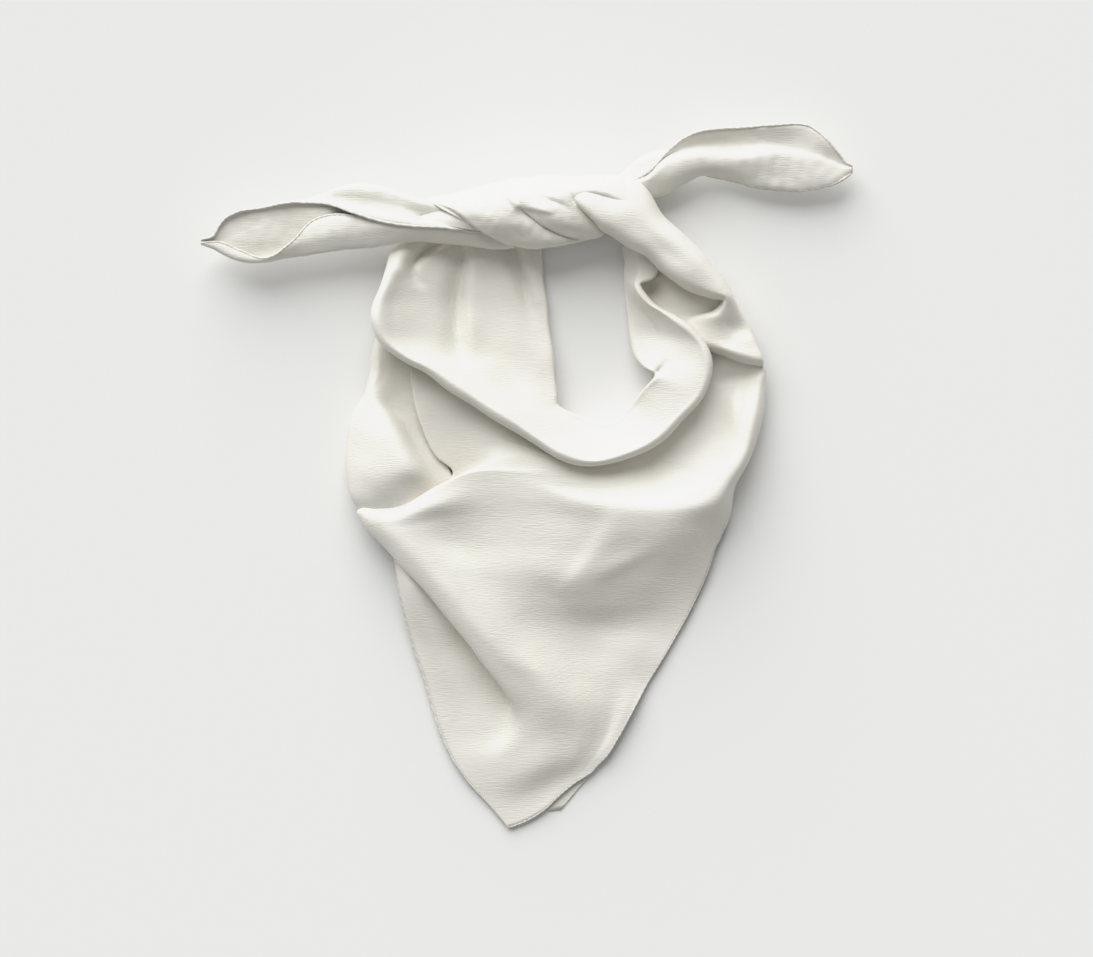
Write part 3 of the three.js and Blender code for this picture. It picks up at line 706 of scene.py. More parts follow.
@dataclass(frozen=True)
class Station:
    """One section of the neck cloth, from the opening's edge over the crest to the outer edge.

    The bow says how late the cloth rises from the opening to the crest. The floor
    is where the cloth goes on to under the outer edge, if not back under the crest.
    """

    hole: Place
    crest: Place
    edge: Place
    bow: float
    floor: Place | None = None

    def section(self) -> list[Place]:
        """Work the section out.

        Returns:
            Its points, from the part turned in under the opening's edge to the
            part tucked in under the outer edge.
        """
        hole, crest, edge = (np.array(point, float) for point in (self.hole, self.crest, self.edge))
        inward = (crest - hole)[:2] / np.linalg.norm((crest - hole)[:2])
        turned = (*(hole[:2] + TURN_IN * inward), TURN_HEIGHT)
        outer = edge - crest
        round_off = (*(crest + ROUND_WAY * outer)[:2], crest[2] + ROUND_DROP * outer[2])
        rise = []
        for share in RISE_SHARES:
            x, y, _ = hole + share * (crest - hole)
            rise.append((x, y, hole[2] + (crest[2] - hole[2]) * share ** self.bow))
        floor = self.floor or (*(edge - FLOOR_WAY * outer)[:2], edge[2] * FLOOR_HEIGHT)
        tuck = (*(edge - TUCK_WAY * outer)[:2], floor[2] + TUCK_RISE * (edge[2] - floor[2]))
        return [turned, self.hole, *rise, self.crest, round_off, self.edge, tuck, floor]


NECK_STATIONS = (
    Station((6.6, 116.5, 4), (-58, 117, 10), (-64, 117, 8), 2.6),
    Station((7, 112, 4), (-62.5, 112, 13), (-67.5, 112, 10), 2.8),
    Station((7.7, 103, 4), (-66, 103, 19), (-69.5, 103, 14), 3.2),
    Station((8.6, 94, 4.6), (-69.5, 94, 23), (-72.5, 94, 17), 3.4),
    Station((9.8, 85, 5.4), (-73, 84.5, 25), (-76, 84, 18), 3.4),
    Station((10.8, 76, 6.4), (-73.5, 76.5, 26), (-76.5, 75, 18), 3.4),
    Station((11.8, 68, 7.4), (-70.3, 68, 26), (-72.5, 66, 18), 3.4),
    Station((12.6, 61, 8.2), (-60.6, 59.8, 26), (-62, 58, 17), 3.4),
    Station((13.3, 54, 9), (-48.2, 53.5, 26), (-50, 51.5, 17), 3),
    Station((14, 47, 9.6), (-35.8, 45.2, 25), (-38, 42.5, 16), 2.2),
    Station((14.5, 41, 10), (-22.8, 36.6, 24.5), (-25, 34, 16), 1.5),
    Station((14.8, 35.5, 10.6), (-8.8, 28, 24.5), (-11, 25.5, 15), 1.1),
    Station((19, 32.4, 11), (4, 19.4, 24), (2, 17.6, 15), 1.0),
    Station((27, 29.4, 12), (17, 11.4, 24), (16, 9.2, 15), 1.15),
    Station((36, 26, 12.5), (32.3, 7.2, 24), (32, 5, 15), 1.2),
    Station((44.5, 27, 12.5), (49.4, 11.3, 24), (50, 9, 15), 1.2),
    Station((52, 35, 13), (63.2, 18.1, 24), (65, 16, 15), 1.15),
    Station((58, 43, 17.5), (75.8, 30, 23.4), (78, 28.5, 15), 0.95),
    Station((64, 50, 20.2), (85.8, 41.2, 22.5), (87.8, 40.3, 15), 1.0),
    Station((57, 55.5, 13), (89.4, 53, 22.3), (91.5, 53, 15), 0.62),
    Station((53, 62, 8), (87.6, 62.8, 22), (89.6, 63.3, 15), 0.9),
    Station((51.5, 70, 6), (81.6, 70.6, 21.5), (83.7, 71.8, 15), 1.5),
    Station((50.4, 79, 5), (70.8, 78.7, 20.5), (72.8, 79.9, 14), 1.5, (99, 81, 7)),
    Station((49.6, 88, 5), (59.6, 86, 19), (61.8, 87, 13), 1.4, (101, 89, 8)),
    Station((49.2, 95, 5), (54, 94.3, 17), (56.2, 95.6, 12), 1.2, (94, 98, 6)),
    Station((48.7, 101, 5), (55.6, 101.2, 12), (62.5, 98.6, 11), 1.2, (84, 105, 5)),
    Station((48.2, 108, 5), (56, 108.5, 12.4), (65, 105, 11), 1.2, (72, 112, 4)),
    Station((47.5, 115, 5), (54.5, 115, 11.6), (62, 111, 10.6), 1.2, (68, 115, 4)),
)


@dataclass
class NeckCloth(Cloth):
    """The cloth round the neck opening: the wide left fall, the soft roll in front and the right fall."""

    lowest: float = 0.7
    creases: tuple[Crease, ...] = (
        Crease(((-31.5, 117, -4.6), (-33, 95, -6.2), (-33.4, 74, -5.6), (-32.5, 56, -1)), 2.2, 6.6),
        Crease(((-24, 117, 0.6), (-27, 90, 0.8), (-27, 66, 0.3)), 6, 6),
        Crease(((-8, 117, -5), (-4.5, 105, -5), (0, 92, -3.4), (4, 74, 0)), 2, 3.6),
        Crease(((-2, 117, 3), (2, 104, 2.5), (5, 88, 1)), 3, 3),
        Crease(((-40, 117, -3.5), (-50, 112.5, -5.5), (-57.2, 104.5, -6), (-57, 100.5, -4.5),
            (-54.5, 96.5, -2), (-50, 94, 0)), 2, 2.4),
        Crease(((-52, 119, 1), (-61, 112, 2.5), (-64, 103, 2)), 4, 4),
        Crease(((60, 49, -1.5), (65.5, 52, -2.6), (71, 59, 0)), 1.3, 1.5),
        Crease(((57, 97, 0.6), (63, 98.6, 0.8), (69, 100.4, 0.6)), 1.2, 1.2),
        Crease(((61.5, 100, -3), (62, 95, -4.4), (63, 89, -4.4), (66, 84, -3)), 3.5, 8, 11),
    )
    ripples: tuple[Ripple, ...] = (Ripple(24, 0.2, 11),)

    def build(self) -> None:
        """Build the neck cloth as one sheet."""
        drape = self.fold([station.section() for station in NECK_STATIONS]).settle(self.lowest)
        nodes = ("left_fall", "neck_roll", "right_fall")
        self.finish_piece("neck_cloth", drape, Held.FOLDED, ("bib_front", "side_lobe"), nodes)


# Each row runs from the left hem over the pleat to the right hem: hem, sheet, tuck, edge,
# ridge, hollow, inner, centre, slope, flank, shoulder, corner. The rows of the cowl go
# on from the corner up the right shoulder, to the side crease.
COWL_ROWS = {
    "under_roll": ((-54, 57, 6), (-58, 58, 8), (-51, 54.5, 8), (-44, 50.5, 8), (-35, 45, 8), (-26, 38, 8),
        (-12, 29, 8), (6, 19, 9), (24, 12.5, 10), (42, 12, 9.6), (58, 19, 9.6), (70, 28, 9), (76, 35, 8.4),
        (81, 43, 7.6), (85, 50, 6), (89, 58, 5.5), (90, 65, 6)),
    "valley": ((-53, 42, 7.5), (-57, 42, 10), (-51, 40, 9.5), (-45, 37, 9), (-37, 33, 8.8), (-28, 28, 8.5),
        (-14, 20, 9.6), (4, 14, 11.2), (24, 8, 11.8), (46, 6.4, 11), (65, 11.5, 10), (78, 19, 9.2),
        (84, 26, 8.6), (89, 34, 7.6), (93, 43, 6.5), (96, 51, 6), (98.5, 62, 8)),
    "floor": ((-42.5, 12, 6), (-46, 11, 9), (-40, 11.5, 8.5), (-33, 12, 8.4), (-26, 13, 9.4),
        (-17, 14.5, 10.6), (-5, 15, 11.8), (10, 10, 13), (28, 4.6, 12.8), (48, 3, 11.8), (70, 5.5, 10.4),
        (84, 12, 10), (91, 18, 9.8), (96, 27, 9.3), (99.5, 37, 8.8), (101.5, 49, 6.5), (104, 60.5, 9)),
    "foot": ((-35, 0, 4), (-36.5, 1.5, 6.5), (-33, 2, 7), (-29, 3, 8), (-23, 6, 10.5), (-15, 10.5, 12.6),
        (-4, 11.5, 13.6), (10, 7, 14.4), (28, 1.8, 14), (50, 0.2, 13), (76, 1.6, 12), (88, 6, 12.8),
        (95, 11, 13), (100, 21, 12.6), (103, 34, 12), (105, 48, 7.5), (108, 59, 10)),
    "pocket": ((-62, -22, 2.4), (-66, -23, 4), (-58, -19, 5), (-49, -14, 7), (-40, -9, 11),
        (-30, -1.5, 14.4), (-16, 8, 15), (7, 4, 15.6), (27, -1.2, 15.2), (50, -3, 14.8), (78, -2.6, 14.8),
        (90, 1, 16), (97, 7, 16), (102, 17, 15.2), (105.5, 30, 14), (108, 47.5, 8.5), (111, 57.5, 10.5)),
    "lip": ((-80, -20, 6), (-82, -19.5, 7.5), (-83.3, -18.6, 10), (-83.8, -17.4, 12.6), (-76.5, -17.6, 15),
        (-67, -18, 17.2), (-52, -11.6, 19.6), (-28, 1, 18.4), (1, -2.6, 17.4), (31, -8.4, 18),
        (66, -9, 20.6), (91.5, -4.5, 21), (98.5, 3, 20.4), (104.5, 14, 18.4), (108.5, 29, 16.4),
        (112, 46.5, 10.5), (115, 56, 11)),
    "crest": ((-77, -24, 6.6), (-79.2, -23.5, 8), (-81.2, -22.5, 9.6), (-82.5, -20.8, 13),
        (-74.5, -21.5, 17.5), (-64, -21, 20), (-46, -14.5, 21.4), (-22, -7, 17.8), (6, -10.5, 17.8),
        (40, -14.5, 23), (74, -16, 25.4), (94, -12, 22), (101.5, -1.5, 20.8), (108.5, 11, 19.4),
        (112.5, 27, 17.2), (116, 45, 12), (117.5, 54.5, 11)),
    "brow": ((-70, -31, 9), (-71.5, -29.8, 10), (-74, -28.4, 10.6), (-79.3, -26, 13), (-71, -26, 18.6),
        (-58, -25.5, 20), (-38, -21, 17.4), (-12, -19, 15.6), (15, -21, 17.4), (46, -25, 22.2),
        (76, -26, 22.4), (98.5, -23, 8), (104, -4, 7.5), (111.5, 12, 8), (117.5, 30, 8), (118.8, 43, 7.5),
        (118.8, 53, 7)),
}
# Below the brow each row would go on under the shoulder, to these places, and is cut off there.
SHOULDER_TUCK = ((101, -2, 2.6), (107, 14, 2.6), (112.5, 32, 2.6), (113.5, 44, 3), (113, 52, 3.4))
FACE_ROWS = {
    "chest": ((-66, -42, 9), (-63, -41.5, 10.6), (-60, -39.5, 10), (-70, -36, 13.6), (-62, -35, 19.4),
        (-50, -34, 19.4), (-33, -33, 15.2), (-10, -33, 15.6), (15, -34, 16.8), (44, -37, 18.4),
        (73, -37, 17.4), (94.3, -35, 6)),
    "breast": ((-64, -54, 8.2), (-58, -54.5, 12), (-48, -53.5, 9), (-58.5, -48.5, 15.4), (-50.5, -47.5, 20),
        (-39, -47.5, 19.6), (-22, -48, 16.4), (-2, -48, 16), (19, -49, 17), (43, -50.5, 14.4),
        (68, -50, 11.2), (88.5, -51.5, 4.2)),
    "waist": ((-60.5, -71, 5.8), (-52, -71.5, 8.6), (-38, -68, 6), (-45.8, -62.3, 15.6),
        (-37.5, -61.5, 20.2), (-27, -61.5, 19.6), (-11, -62, 15.6), (8, -62, 12.6), (26, -62.5, 11.4),
        (46, -62.5, 8.6), (65, -63, 5.8), (82.2, -65, 3)),
    "middle": ((-56.5, -86, 3.8), (-44, -87.5, 5.4), (-26, -80.5, 3), (-34, -77, 15), (-26, -76, 19.6),
        (-16, -75.5, 18.6), (-2, -75, 13.6), (13, -75, 8.8), (28, -75, 6.2), (44, -75, 3), (60, -75.5, 2.8),
        (75, -78.5, 2.8)),
    "hip": ((-52, -99, 2.8), (-36, -102, 3.8), (-17, -95, 2.4), (-22.8, -91, 14.4), (-14.5, -89.5, 18.2),
        (-6, -88.5, 17.8), (6, -87.5, 12.6), (19, -87, 7.4), (32, -87, 4.8), (45, -87, 3.6), (57, -88, 3.4),
        (68, -90.5, 2.8)),
    "lower": ((-48, -113, 2.6), (-31, -116, 2.8), (-8, -108, 2.6), (-12, -105.5, 12.4), (-3, -100.5, 16),
        (6, -100, 15.8), (14, -99.5, 12.6), (24, -99, 8.6), (34, -99, 6), (44, -99.5, 4.6), (53, -101, 3.6),
        (60, -103.5, 3)),
    "wrist": ((-43.5, -127, 2.6), (-29, -128, 3), (-9, -124.5, 3.6), (-3, -119.5, 9.4), (7, -113.5, 13.4),
        (14, -112.5, 13.6), (22, -112, 11.6), (29, -112, 9.2), (36, -113, 6.6), (43, -114, 4.8),
        (49, -115.5, 5.2), (52.8, -117, 5)),
    "narrow": ((-38, -139.5, 2.6), (-28, -140, 3.6), (-13, -138.5, 6), (0, -132.5, 8), (10, -128, 9.6),
        (18, -126.5, 9.6), (26, -126, 8.8), (31, -126, 7.4), (36, -127, 5.4), (40, -128, 4.4),
        (43.5, -129, 5), (46, -129.5, 5)),
    "point": ((-30, -151.5, 2.4), (-22, -152.5, 3), (-10, -150, 5), (1, -146.5, 6.8), (10, -143, 7.4),
        (17, -140.5, 7.2), (23, -139.5, 6.6), (27, -139, 5.6), (31, -138.5, 4.6), (34.5, -138.5, 4),
        (37.5, -138.5, 4.2), (40, -139.3, 4.2)),
    "tip": ((-18, -165, 2), (-13, -164.5, 2.2), (-6, -161.5, 2.2), (1, -159, 2.4), (7, -156.5, 2.6),
        (12, -154, 2.8), (17, -151.5, 3), (22, -149.5, 3), (26, -148, 3), (29, -146.5, 3), (32, -145.5, 3),
        (34.5, -145, 3)),
    "hem_line": ((-9, -175.5, 1.8), (-6, -174.5, 1.9), (-2, -173, 2), (2, -171, 2.1), (6, -168.5, 2.2),
        (10, -165.5, 2.4), (14, -161.5, 2.5), (19, -157, 2.6), (24, -153, 2.6), (28, -150.5, 2.7),
        (31, -148.5, 2.7), (33, -147, 2.7)),
}


@dataclass
class BibFront(Cloth):
    """The front ply: the pocket behind the cowl, the cowl, the pleat, the ribbed face and the point."""

    creases: tuple[Crease, ...] = (
        Crease(((50, -14, 0), (42, -24, 1.0), (34, -38, 1.7), (26, -49, 1.6), (14, -60, 0)), 11, 4.5),
        Crease(((70, -32, 0), (58, -38, 0.8), (45, -44.5, 1.3), (30, -52, 0)), 4, 5),
        Crease(((92, 46, 0), (101, 48.4, -1.8), (109, 49.4, -2), (117, 52, -1)), 6, 1.6),
    )
    ripples: tuple[Ripple, ...] = (Ripple(30, 0.18, 21),)

    def drape(self) -> tuple[Drape, int, int]:
        """Work out the front ply's surface.

        Returns:
            The surface, the row of its brow and the column of its right hem.
        """
        face = [(*row, *SHOULDER_TUCK) for row in FACE_ROWS.values()]
        net = np.array([*COWL_ROWS.values(), *face], float)
        corner = len(FACE_ROWS["chest"]) - 1
        rows = fine_places(net[:, :corner + 1], self.pitch)
        columns = fine_places(net.transpose(1, 0, 2), self.pitch)
        grid = along(along(net, rows).transpose(1, 0, 2), columns).transpose(1, 0, 2)
        brow = int(np.searchsorted(rows, len(COWL_ROWS) - 1))
        chest = int(np.searchsorted(rows, len(COWL_ROWS)))
        right = int(np.searchsorted(columns, corner))
        kept = np.ones((grid.shape[0] - 1, grid.shape[1] - 1), bool)
        kept[chest:, right:] = False
        return Drape(grid, kept).crease(self.creases).ripple(self.ripples), brow, right

    def build(self) -> None:
        """Build the front ply and its hems."""
        drape, brow, right = self.drape()
        hem = Hem()
        hems = [
            hem.along("bib_left_hem", drape.grid[brow:, 0]),
            hem.along("bib_tip_hem", drape.grid[-1, :right + 1]),
            hem.along("bib_right_hem", drape.grid[brow:, right]),
        ]
        self.finish_piece("bib_front", drape, Held.DRAPED, ["bib_back"], hems=hems)


# Each line crosses the back ply from its left edge to its right, from under the roll to the point.
BACK_LINES = (
    ((-52, 46), (-26, 42), (-4, 33), (16, 21), (34, 15), (50, 17), (66, 26), (80, 40), (98, 54)),
    ((-64, 8), (-34, 0), (0, -8), (34, -14), (66, -8), (92, 10), (112, 42)),
    ((-69, -20), (-30, -36), (20, -44), (66, -38), (101, -8)),
    ((-64, -42), (-20, -60), (30, -66), (92, -38)),
    ((-60, -66), (-20, -84), (30, -86), (82, -60)),
    ((-51, -98), (0, -112), (61, -99)),
    ((-40, -130), (0, -138), (46, -126)),
    ((-28, -150), (0, -154), (32, -149)),
    ((-14, -166), (4, -165), (25, -157)),
    ((-6, -170), (6, -168), (17, -166.5)),
)


@dataclass
class BibBack(Cloth):
    """The back ply, flat on the floor under the bib, with its corner beside the front's point."""

    height: float = 0.45
    width: float = 160.0

    def build(self) -> None:
        """Build the back ply, whose flat cloth needs only half as fine a grid."""
        coarse = 2 * self.pitch
        count = round(self.width / coarse)
        net = np.array([even_stretch([(x, y, self.height) for x, y in line], count) for line in BACK_LINES])
        drape = Drape(along(net, fine_places(net, coarse)))
        self.finish_piece("bib_back", drape, Held.LAID, ["floor"], slot=Slot.INSIDE)


# Each row crosses the lobe from its foot outside over the crest to its foot inside.
LOBE_SECTIONS = (
    ((-70, 72, 2.6), (-74, 72, 4), (-71.5, 72, 6), (-67, 71, 6), (-61, 69, 5), (-54, 66, 4)),
    ((-73, 61, 2.6), (-77.3, 61, 4), (-74.5, 61, 7), (-70, 60, 6.5), (-63, 57.5, 4.5), (-53, 54, 4)),
    ((-74, 51, 2.6), (-78, 51, 4.5), (-75, 50.5, 8), (-71, 49.5, 7), (-63, 46, 4.5), (-51, 40, 4)),
    ((-76, 42, 2.6), (-80.5, 41.5, 6), (-79, 41, 9.5), (-75.5, 39.5, 11), (-66, 34, 7), (-50, 27, 3.6)),
    ((-80, 31.5, 2.6), (-86.3, 31.5, 7), (-81, 31, 12), (-70.5, 30, 15), (-60, 25, 8), (-47, 17, 4)),
    ((-82, 15, 2.6), (-89.2, 15, 8.5), (-81, 15.5, 15.5), (-64.5, 17, 19.4), (-53.5, 12, 10), (-41, 7, 4.2)),
    ((-82, -1, 2.6), (-89.3, -1, 9), (-79, -0.5, 18), (-58.5, 3, 21.6), (-47.5, 1, 10.6), (-37, -2, 4.4)),
    ((-81, -11, 2.6), (-87.2, -11, 10), (-77, -10, 17), (-57, -5, 18), (-47, -4.5, 11), (-39, -5.5, 5)),
    ((-79, -17, 3), (-83, -17, 8), (-75.5, -19, 12.5), (-60, -17.5, 14), (-52, -14, 13), (-45, -10.5, 12)),
)


@dataclass
class SideLobe(Cloth):
    """The scoop of cloth that stands out left of the neck panel and runs into the cowl."""

    ripples: tuple[Ripple, ...] = (Ripple(20, 0.15, 31),)

    def build(self) -> None:
        """Build the side lobe."""
        self.finish_piece("side_lobe", self.fold(LOBE_SECTIONS), Held.FOLDED, ["bib_back"])


# Each row crosses the band from under its inner edge, over its back, to under its outer edge.
BAND_SECTIONS = (
    ((39, 125, 8), (36.5, 122.5, 10), (31.6, 127.8, 12), (25.6, 134.2, 14), (19, 141, 13), (18, 145, 8)),
    ((41, 124, 9), (38.8, 120.8, 19), (34.4, 125.6, 28.8), (25.6, 134.8, 29.8), (21.5, 141, 24),
     (21, 145, 9)),
    ((46, 124, 11), (43, 118.8, 19), (41.8, 122.2, 29.4), (34, 135.4, 30.6), (33, 146, 21.5), (33, 146, 11)),
    ((57, 119, 11), (51, 113.5, 18), (51.4, 117, 28.8), (54, 130, 29), (55.5, 145.5, 17), (54, 143, 8)),
    ((66, 113, 10), (60, 108.5, 17), (60.8, 111.4, 27.2), (66, 121, 27.6), (68.8, 128.3, 15),
     (66, 124.5, 5)),
    ((76, 105, 8), (69.5, 99.5, 16), (70.9, 102.2, 26.2), (79, 111, 26.2), (83.5, 115, 14), (79, 111.5, 4)),
    ((86, 98, 6), (80, 92.5, 16), (81.2, 95.2, 25.2), (88.6, 101.5, 24.8), (93.5, 103, 13), (88, 99.5, 3)),
    ((95, 93, 6), (90.5, 88.8, 16), (91.5, 91.3, 24), (96.5, 93.5, 22.5), (100.8, 92, 13), (95, 91, 3)),
    ((98.5, 89, 6), (97.6, 87.2, 18), (98.8, 88.3, 22.5), (101.5, 88, 20.5), (104, 86, 13), (98, 85, 3)),
    ((94, 83.5, 6), (94, 81.6, 17.5), (96, 80.6, 20.5), (102, 79.5, 18.5), (107.5, 79.5, 12), (101, 78, 3)),
    ((84, 81, 6), (84.5, 79.3, 15.5), (88, 76.8, 18), (99, 73, 16.4), (111, 73, 12), (104, 72, 3)),
    ((76, 78, 6), (78, 75, 12), (84, 71.5, 16), (99, 67, 17), (114.3, 65, 13.6), (108, 65.5, 4)),
    ((75, 75, 6), (80, 70.5, 10.5), (86, 67, 14.5), (99, 62.6, 18.4), (117, 58, 15.2), (111, 61.5, 7)),
    ((78, 71, 6), (82, 67, 8.5), (88, 63.8, 9.5), (98, 59.4, 11), (117.5, 54.6, 12), (112, 57, 8)),
)


@dataclass
class RightBand(Cloth):
    """The band from the knot down the right side, round the dark pocket and over the shoulder."""

    creases: tuple[Crease, ...] = (
        Crease(((52, 127, 0), (60, 119, -0.5), (72, 109, -0.6), (82, 102, 0)), 2.5, 3.5),
        Crease(((93, 75, 0), (101, 67, -0.8), (112, 61, -0.6)), 2, 3),
        Crease(((98, 80, -1.5), (104, 72, -2.5), (106, 66, 0)), 6, 5),
    )
    ripples: tuple[Ripple, ...] = (Ripple(20, 0.2, 41),)

    def build(self) -> None:
        """Build the band."""
        drape = self.fold(BAND_SECTIONS)
        self.finish_piece("right_band", drape, Held.FOLDED, ["bib_front", "bib_back"])


# Each row runs aslant over the knot, from the part turned in above to that turned in below:
# under, top, upper, high, crest, low, bottom, under. The last two pass beneath the band.
WRAP_SECTIONS = (
    ((-44, 137.5, 9), (-50, 137.6, 14), (-47, 135.2, 19), (-40, 131.2, 24), (-31, 126.2, 26.2),
     (-20, 120.2, 24.4), (-10, 115, 18), (-6, 117, 9)),
    ((-36, 138.5, 7), (-38.5, 140, 13.5), (-35.5, 138, 21.5), (-28, 133, 27.5), (-17, 127.2, 29.8),
     (-7, 121, 27.6), (2, 113, 19), (4, 116, 8)),
    ((-22, 142, 6), (-23, 144, 12.5), (-20.5, 141.8, 21.8), (-13.5, 136.2, 28.4), (-5, 129.5, 30.6),
     (4, 122, 28.2), (12, 113.8, 20), (13, 117, 8)),
    ((-8, 144, 6), (-9, 147.2, 12), (-7, 144.6, 22), (-1.5, 138.4, 28.8), (6, 130.6, 30.8), (14, 123, 28.4),
     (22, 116, 20), (23, 118, 8)),
    ((8, 145, 6), (7, 149.4, 12), (8, 146.2, 22), (11.5, 139.4, 28.6), (16.5, 131.8, 30.2),
     (23, 124.5, 27.8), (31, 118, 19.5), (32, 120, 9)),
    ((24, 146, 5), (23, 149, 12), (22.5, 146, 22), (20.6, 140.6, 28.4), (23.8, 134, 28.2), (29.6, 128, 25.8),
     (37.4, 120.4, 18.5), (37, 123, 10)),
    ((38, 146, 5), (39, 149.4, 12.5), (37.5, 146.5, 22.5), (34.5, 140.6, 29.6), (30.5, 136.6, 25),
     (33, 130.5, 20), (38, 124, 14), (37, 125, 9)),
    ((48, 145, 5), (49, 148, 13), (48, 144.5, 22.3), (45.5, 136.8, 28.6), (42, 134.6, 24), (42, 130, 18),
     (44, 125, 12), (43, 126, 8)),
    ((60, 141, 5), (60, 141.6, 11), (59.5, 138, 19), (57.5, 130, 26.6), (53, 130, 22), (51, 127, 16),
     (51, 123, 10), (50, 124, 7)),
)
# Each row is a place along the knot, with the core's reach across and up there: x, y, across, up.
CORE_PROFILE = (
    (-56, 125, 3, 4), (-44, 125.5, 7, 7), (-30, 127, 10.5, 9.5), (-10, 129.5, 12, 10.5),
    (15, 131.5, 12, 10.5), (40, 132.5, 9, 8.5), (50, 132.5, 6, 6),
)


@dataclass
class Knot(Cloth):
    """The twisted half knot: the cloth laid aslant in two wraps over the cloth wound inside.

    The core winds outwards from an inner share of its reach. Its start turns
    with each section by the twist, which is a share of a full turn.
    """

    pitch: float = 0.65
    core_turns: float = 1.35
    core_steps: int = 24
    core_inner: float = 0.62
    core_twist: float = 0.06
    core_start: float = -0.9
    core_height: float = 15.5
    creases: tuple[Crease, ...] = (
        Crease(((-4.5, 134, 0), (0, 130.2, -3.4), (5, 126.8, -4.2), (10.5, 123.4, -4.0), (17, 120.2, -3.0),
            (24, 118.4, -2.2), (32, 118, -1.6), (39, 119.2, 0)), 3.2, 4.5),
        Crease(((-4, 133.2, 0), (0, 129.8, -1.6), (5, 126.4, -2.4), (10.5, 123, -2.4), (17, 119.8, -2.2),
            (24, 118, -2.0), (32, 117.6, -1.6), (39, 118.8, 0)), 0.8, 1.0),
        Overhang(((-5, 134.6, 0), (-2, 131.8, 1.0), (2, 128.8, 1.6), (7, 125.5, 2.0), (12.5, 122.5, 2.0),
            (19, 119.8, 1.8), (27, 118.4, 1.6), (37, 118.8, 0.8)), 2.2, 0.8),
        Crease(((-12, 141, 0), (-8, 137, 1.0), (-4.2, 133.4, 1.2), (-1.5, 130.6, 0)), 0.9, 2.2),
        Crease(((-3, 133.6, 0), (2, 132.2, 1.2), (8, 130.9, 1.4), (14.5, 129.4, 0)), 2.6, 0.9),
        Crease(((2, 139.5, 0), (10, 136.6, -0.9), (17, 134, -0.9), (22, 131, 0)), 1.4, 2.0),
        Overhang(((-48, 136.2, 0.2), (-38.5, 132.8, 1.2), (-32.4, 129.4, 1.8), (-27.6, 124.8, 1.8),
            (-20, 119.8, 1.2), (-13, 116, 0)), 6, 0.7, lean=0.8),
        Crease(((-46, 134.6, 0), (-38.5, 131.8, -0.8), (-32.8, 128.4, -1.2), (-28, 124, -1.2),
            (-20, 119.2, 0)), 0.7, 0.9),
        Crease(((-20, 143, 0), (-13, 138.5, -0.6), (-7, 134, -0.7), (0, 127, 0)), 2, 2.4),
        Crease(((16, 145, 0), (20, 140.8, -0.8), (22.5, 137, -1.0), (24, 133.5, 0)), 1.2, 1.2),
    )
    ripples: tuple[Ripple, ...] = (Ripple(12, 0.2, 51, (1.8, 1.0)), Ripple(5, 0.05, 52))

    def core(self) -> Drape:
        """Work out the wound cloth inside: a loose spiral that twists along the knot.

        Returns:
            The surface.
        """
        last = self.core_steps - 1
        sections = []
        for at, (x, y, across, up) in enumerate(CORE_PROFILE):
            section = []
            for step in range(self.core_steps):
                turn = self.core_turns * step / last
                angle = math.tau * (turn + self.core_twist * at) + self.core_start
                reach = self.core_inner + (1 - self.core_inner) * step / last
                sideways, upwards = reach * across * math.cos(angle), reach * up * math.sin(angle)
                section.append((x, y + sideways, self.core_height + upwards))
            sections.append(section)
        return Drape.through(sections, self.pitch)

    def build(self) -> None:
        """Build the core and the sheet that makes both wraps."""
        self.finish_piece("knot_core", self.core(), Held.GATHERED, ["right_band"], slot=Slot.INSIDE)
        nodes = ["knot_wrap_left", "knot_wrap_middle"]
        self.finish_piece("knot_wraps", self.fold(WRAP_SECTIONS), Held.GATHERED, ["knot_core"], nodes)


def tail_sections(rows: dict[float, Sequence[tuple[float, ...]]]) -> list[list[Place]]:
    """Place the sections across a tail.

    Args:
        rows: The sections by their X. A point is its Y, its Z and, for a few, a shift in X.

    Returns:
        The sections' places.
    """
    return [[(x + sum(shift), y, z) for y, z, *shift in row] for x, row in rows.items()]


